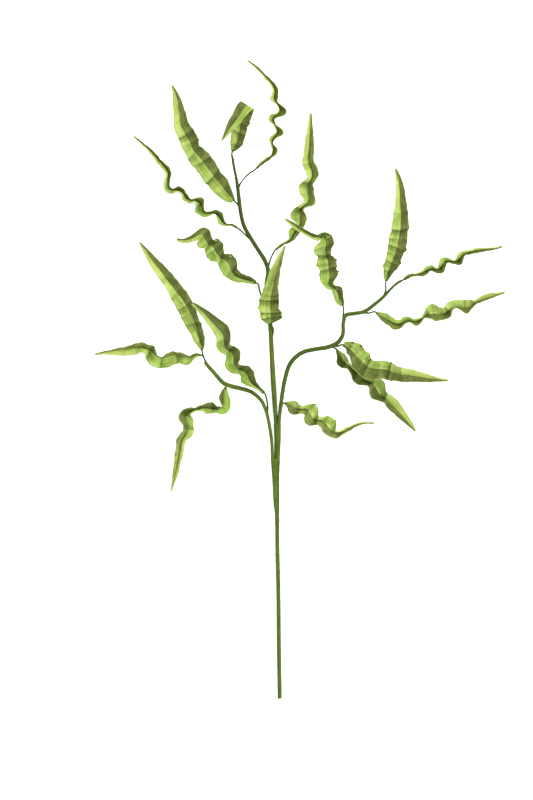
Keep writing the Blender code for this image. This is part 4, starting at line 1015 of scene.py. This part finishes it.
def route_at(route, up):
    """Centre x, height and radius of a stem where it passes a given y of the frame."""
    table = to_table(route)
    order = np.argsort(table[:, 1])
    return [np.interp(up, table[order, 1], table[order, column]) for column in (0, 2, RADIUS)]


def make_binding(name, sizes, materials):
    """Tape wound tightly round stems that lie side by side."""
    routes, top, bottom = BINDINGS[name]
    low, high = to_table(((0, bottom, 0), (0, top, 0)))[:, 1]
    shape = bmesh.new()
    tape_map = shape.loops.layers.uv.new("tape")
    tone_and_shade = shape.verts.layers.float.new("tone_and_shade")
    corners = add_grid(shape, BINDING_SIDES, round((high - low) / STEM_STEP), tape_map, high - low)
    for corner in corners:
        turn = (corner.co.x + 1) / 2
        up = low + (corner.co.y + 1) / 2 * (high - low)
        angle = math.tau * turn
        outward = (math.cos(angle), math.sin(angle))
        stems = [route_at(route, up) for route in routes]
        x, z, radius = max(stems, key=lambda stem: stem[0] * outward[0] + stem[1] * outward[1] + stem[2])
        overlap = (up / (sizes.tape_pitch / MM) - turn) % 1.0
        reach = radius + BINDING_TAPE + sizes.tape_ridge / MM * overlap**3
        height = max(z + reach * outward[1], FLOOR_CLEARANCE)
        corner[tone_and_shade] = BINDING_DARKNESS
        corner.co = Vector((x + reach * outward[0], up, height)) * MM
    close_round(shape, corners)
    bmesh.ops.recalc_face_normals(shape, faces=shape.faces[:])
    add_piece(name, shape, (), materials)


def new_material(name, finish):
    """A material with an empty tree but for its output and a shader that has the given finish."""
    material = bpy.data.materials.new(name)
    material.use_nodes = True
    shader = material.node_tree.nodes["Principled BSDF"]
    for socket, value in finish.items():
        shader.inputs[socket].default_value = value
    return material, material.node_tree, shader


def add_node(tree, kind, values, **settings):
    """A shader node with its settings, and its inputs set to a value or linked to a socket."""
    node = tree.nodes.new(kind)
    for name, value in settings.items():
        setattr(node, name, value)
    for name, value in values.items():
        if isinstance(value, bpy.types.NodeSocket):
            tree.links.new(value, node.inputs[name])
        else:
            node.inputs[name].default_value = value
    return node


def mix(tree, share, first, second):
    """A colour between two, by a share from 0 to 1."""
    values = {MIX_SHARE: share}
    for socket, colour in ((MIX_FIRST, first), (MIX_SECOND, second)):
        values[socket] = colour if isinstance(colour, bpy.types.NodeSocket) else (*colour, 1.0)
    return add_node(tree, "ShaderNodeMix", values, data_type="RGBA").outputs[MIX_RESULT]


def sums(tree, operation, first, second):
    """A number worked out from two."""
    return add_node(tree, "ShaderNodeMath", {0: first, 1: second}, operation=operation).outputs[0]


def times(tree, first, second):
    """Two numbers multiplied."""
    return sums(tree, "MULTIPLY", first, second)


def over_nought(tree, value):
    """How far a number lies over nought."""
    return sums(tree, "MAXIMUM", value, 0.0)


def under_nought(tree, value):
    """How far a number lies under nought."""
    return over_nought(tree, times(tree, value, -1.0))


def spread(tree, value, limits):
    """A number taken from between two limits to between 0 and 1."""
    return add_node(tree, "ShaderNodeMapRange", {0: value, 1: limits[0], 2: limits[1]}).outputs[0]


def noise(tree, place, scale, detail=2.0):
    """Noise between 0 and 1."""
    values = {"Vector": place, "Scale": scale, "Detail": detail}
    return add_node(tree, "ShaderNodeTexNoise", values).outputs[0]


def on_map(tree, map_name):
    """A place on a piece's own map."""
    return add_node(tree, "ShaderNodeUVMap", {}, uv_map=map_name).outputs[0]


def pattern(tree, map_name, scale, detail):
    """Noise that follows a piece's own map."""
    scaled = add_node(tree, "ShaderNodeMapping", {"Vector": on_map(tree, map_name), "Scale": scale})
    return noise(tree, scaled.outputs[0], 1.0, detail)


def attribute(tree, name):
    """A number kept on the piece's points."""
    return add_node(tree, "ShaderNodeAttribute", {}, attribute_name=name).outputs["Fac"]


def add_grain(tree, shader, height, strength, depth):
    """Let a pattern stand up from the surface by a depth in millimetres."""
    values = {"Height": height, "Strength": strength, "Distance": depth * MM}
    bump = add_node(tree, "ShaderNodeBump", values)
    tree.links.new(bump.outputs[0], shader.inputs["Normal"])


def leaf_material(name, flipped, colours):
    """Cloth light to the left of the crease and darker to its right, partly its own tone and partly painted
    shade, with painted shade in shut folds.
    """
    material, tree, shader = new_material(name, CLOTH_FINISH)
    apart = add_node(tree, "ShaderNodeSeparateXYZ", {0: on_map(tree, "blade")}).outputs[0]
    curl = attribute(tree, "curl")
    # Which half a point lies on: the light one, or the darker one that carries painted shade.
    side = spread(tree, sums(tree, "ADD", apart, times(tree, curl, CURL_WIDENS)), CREASE_BLEND)
    # On the back the light half and the shaded half change sides.
    if flipped:
        side = sums(tree, "SUBTRACT", 1.0, side)
    fibres = pattern(tree, "blade", *CLOTH_FIBRES)
    threads = pattern(tree, "blade", *CLOTH_THREADS)
    bands = pattern(tree, "blade", *CLOTH_BANDS)
    tone = attribute(tree, "tone")
    pale = under_nought(tree, tone)
    fold = times(tree, attribute(tree, "fold"), sums(tree, "SUBTRACT", 1.0, pale))
    # Painted light and shade where the leaf curls.
    light = mix(tree, times(tree, curl, CURL_LIGHT), colours.light_green, colours.curl_lit_green)
    # Painted shade where the cloth is folded shut.
    light = mix(tree, times(tree, fold, FOLD_LIGHT), light, colours.fold_shade_green)
    dark = mix(tree, times(tree, curl, CURL_DARK), colours.shaded_olive, colours.curl_shade_olive)
    dark = mix(tree, times(tree, fold, FOLD_DARK), dark, colours.fold_shade_olive)
    # Painted shade, and the pale colour of grain and painted highlight, each on its own half.
    shade = mix(tree, side, colours.fold_shade_olive, colours.fold_shade_green)
    bright = mix(tree, side, colours.grain_and_highlight_olive, colours.grain_and_highlight_green)
    cloth = mix(tree, over_nought(tree, tone), mix(tree, side, dark, light), shade)
    cloth = mix(tree, pale, cloth, colours.tip_yellow)
    # Painted pleat shade and highlight in bands across the cloth, then its own dark and pale fibres.
    for marks, (darker, paler) in ((bands, BANDS_SHOW), (fibres, FIBRES_SHOW)):
        cloth = mix(tree, times(tree, spread(tree, marks, DARK_PATCHES), darker), cloth, shade)
        cloth = mix(tree, times(tree, spread(tree, marks, PALE_PATCHES), paler), cloth, bright)
    reach = attribute(tree, "reach")
    tip = times(tree, spread(tree, reach, TIP_PART), TIP_SHOWS)
    cloth = mix(tree, times(tree, tip, side), cloth, colours.tip_yellow)
    # Painted highlight on the crest of a tuck, then its painted shadow line, broken up in patches.
    tuck = attribute(tree, "tuck")
    cloth = mix(tree, times(tree, under_nought(tree, tuck), CREST_SHOWS), cloth, bright)
    patchy = spread(tree, pattern(tree, "blade", *CLOTH_PATCHES), TUCK_PATCHES)
    tucked = times(tree, over_nought(tree, tuck), patchy)
    cloth = mix(tree, times(tree, tucked, TUCK_SHOWS), cloth, colours.tuck_shadow_green)
    cloth = mix(tree, times(tree, spread(tree, reach, FOOT_PART), FOOT_SHOWS), cloth, shade)
    bare = sums(tree, "ADD", times(tree, curl, RIM_CURLS), RIM_SHOWS)
    rim = times(tree, spread(tree, attribute(tree, "rim"), RIM_PART), bare)
    cloth = mix(tree, rim, cloth, colours.pale_edge)
    tree.links.new(cloth, shader.inputs["Base Color"])
    grain = sums(tree, "ADD", fibres, times(tree, threads, THREADS_SHOW))
    add_grain(tree, shader, grain, *CLOTH_GRAIN)
    return material


def edge_material(colours):
    """The cut edge of the cloth, paler than its faces."""
    material, tree, shader = new_material("cloth cut edge", EDGE_FINISH)
    fibres = spread(tree, pattern(tree, "blade", *EDGE_FIBRES), EDGE_PATCHES)
    colour = mix(tree, fibres, colours.pale_edge, colours.light_green)
    tree.links.new(colour, shader.inputs["Base Color"])
    return material


def tape_material(name, colours):
    """Waxed paper tape: streaks along the stem, crinkled, and darker by a share on its points that is partly
    its own tone and partly painted shade.
    """
    material, tree, shader = new_material(name, TAPE_FINISH)
    streaks = spread(tree, pattern(tree, "tape", *TAPE_STREAKS), STREAK_PATCHES)
    colour = mix(tree, times(tree, streaks, STREAKS_SHOW), colours.tape, colours.tape_dark)
    # Darker by the share on the points, partly painted shade.
    colour = mix(tree, attribute(tree, "tone_and_shade"), colour, colours.tape_dark)
    tree.links.new(colour, shader.inputs["Base Color"])
    add_grain(tree, shader, pattern(tree, "tape", *TAPE_CRINKLES), *TAPE_GRAIN)
    return material


def speckled_material(name, finish, scale, strength, first, second):
    """A plain hard surface with fine specks of a second colour."""
    material, tree, shader = new_material(name, finish)
    place = add_node(tree, "ShaderNodeTexCoord", {}).outputs["Object"]
    colour = mix(tree, times(tree, noise(tree, place, scale), strength), first, second)
    tree.links.new(colour, shader.inputs["Base Color"])
    return material


class FROND_OT_add_stems(bpy.types.Operator):
    """Add the three taped stems with the leaf wires that branch from them"""

    bl_idname = "frond.add_stems"
    bl_label = "Taped stems and leaf wires"

    def execute(self, context):
        tape = tape_material("stem tape", context.scene.frond_colours)
        iron = speckled_material("iron wire", IRON_FINISH, IRON_GRAIN, 1.0, IRON_GREY, IRON_DARK)
        for node in STEMS:
            make_stem(node, context.scene.frond_sizes, (tape, iron))
        return {"FINISHED"}


class FROND_OT_add_bindings(bpy.types.Operator):
    """Add the tape that binds the stems together"""

    bl_idname = "frond.add_bindings"
    bl_label = "Binding tape"

    def execute(self, context):
        tape = tape_material("binding tape", context.scene.frond_colours)
        for name in BINDINGS:
            make_binding(name, context.scene.frond_sizes, (tape,))
        return {"FINISHED"}


class FROND_OT_add_leaves(bpy.types.Operator):
    """Add the eighteen folded cloth leaves"""

    bl_idname = "frond.add_leaves"
    bl_label = "Cloth leaves"

    def execute(self, context):
        colours = context.scene.frond_colours
        materials = (
            leaf_material("leaf cloth face", False, colours),
            leaf_material("leaf cloth back", True, colours),
            edge_material(colours),
        )
        for leaf in LEAVES:
            make_leaf(leaf, context.scene.frond_sizes, materials)
        return {"FINISHED"}


class FROND_OT_add_stage(bpy.types.Operator):
    """Add the white surface, the soft light and the camera that looks down"""

    bl_idname = "frond.add_stage"
    bl_label = "Surface, light and camera"

    def execute(self, context):
        shape = bmesh.new()
        bmesh.ops.create_grid(shape, x_segments=1, y_segments=1, size=FLOOR_SIZE / 2)
        white = context.scene.frond_colours.floor
        surface = speckled_material(
            "white surface", FLOOR_FINISH, FLOOR_TOOTH, TOOTH_SHOWS, white, FLOOR_GREY
        )
        floor = to_object("white_surface", shape, (surface,))

        world = bpy.data.worlds.new("studio")
        world.use_nodes = True
        backdrop = world.node_tree.nodes["Background"]
        backdrop.inputs["Color"].default_value = WHITE
        backdrop.inputs["Strength"].default_value = SKY_STRENGTH
        context.scene.world = world

        lamp = bpy.data.lights.new("key light", "SUN")
        lamp.energy = KEY_STRENGTH
        lamp.angle = KEY_SOFTNESS
        key = link("key light", lamp)
        key.rotation_euler = Vector(KEY_FROM).to_track_quat("Z", "Y").to_euler()

        distance = context.scene.frond_sizes.camera_distance
        lens = bpy.data.cameras.new("camera")
        lens.sensor_width = SENSOR
        lens.lens = SENSOR * distance / (IMAGE_HEIGHT * PIXEL * MM)
        lens.clip_end = 2 * distance
        camera = link("camera", lens)
        middle = to_table(((IMAGE_WIDTH / 2, IMAGE_HEIGHT / 2, 0.0),))[0] * MM
        camera.location = (middle[0], middle[1], distance)
        context.scene.camera = camera
        context.scene.view_settings.view_transform = "Standard"
        return {"FINISHED"}


class FROND_PT_sidebar(bpy.types.Panel):
    """The steps that dress the frond"""

    bl_idname = "FROND_PT_sidebar"
    bl_label = "Fern frond spray"
    bl_space_type = "VIEW_3D"
    bl_region_type = "UI"
    bl_category = "Frond"

    def draw(self, context):
        for group in (context.scene.frond_sizes, context.scene.frond_colours):
            for name in group.__annotations__:
                self.layout.prop(group, name)
        for step in STEPS:
            self.layout.operator(step.bl_idname)


STEPS = (FROND_OT_add_stems, FROND_OT_add_bindings, FROND_OT_add_leaves, FROND_OT_add_stage)
CLASSES = (FrondSizes, FrondColours, *STEPS, FROND_PT_sidebar)


def register():
    """Make the groups, the operators and the panel known to Blender."""
    for each in CLASSES:
        bpy.utils.register_class(each)
    bpy.types.Scene.frond_sizes = bpy.props.PointerProperty(type=FrondSizes)
    bpy.types.Scene.frond_colours = bpy.props.PointerProperty(type=FrondColours)


def unregister():
    """Take them away again."""
    del bpy.types.Scene.frond_colours
    del bpy.types.Scene.frond_sizes
    for each in reversed(CLASSES):
        bpy.utils.unregister_class(each)


def main():
    """Dress the frond."""
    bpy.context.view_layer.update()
    register()
    bpy.ops.frond.add_stems()
    bpy.ops.frond.add_bindings()
    bpy.ops.frond.add_leaves()
    bpy.ops.frond.add_stage()


if __name__ == "__main__":
    main()
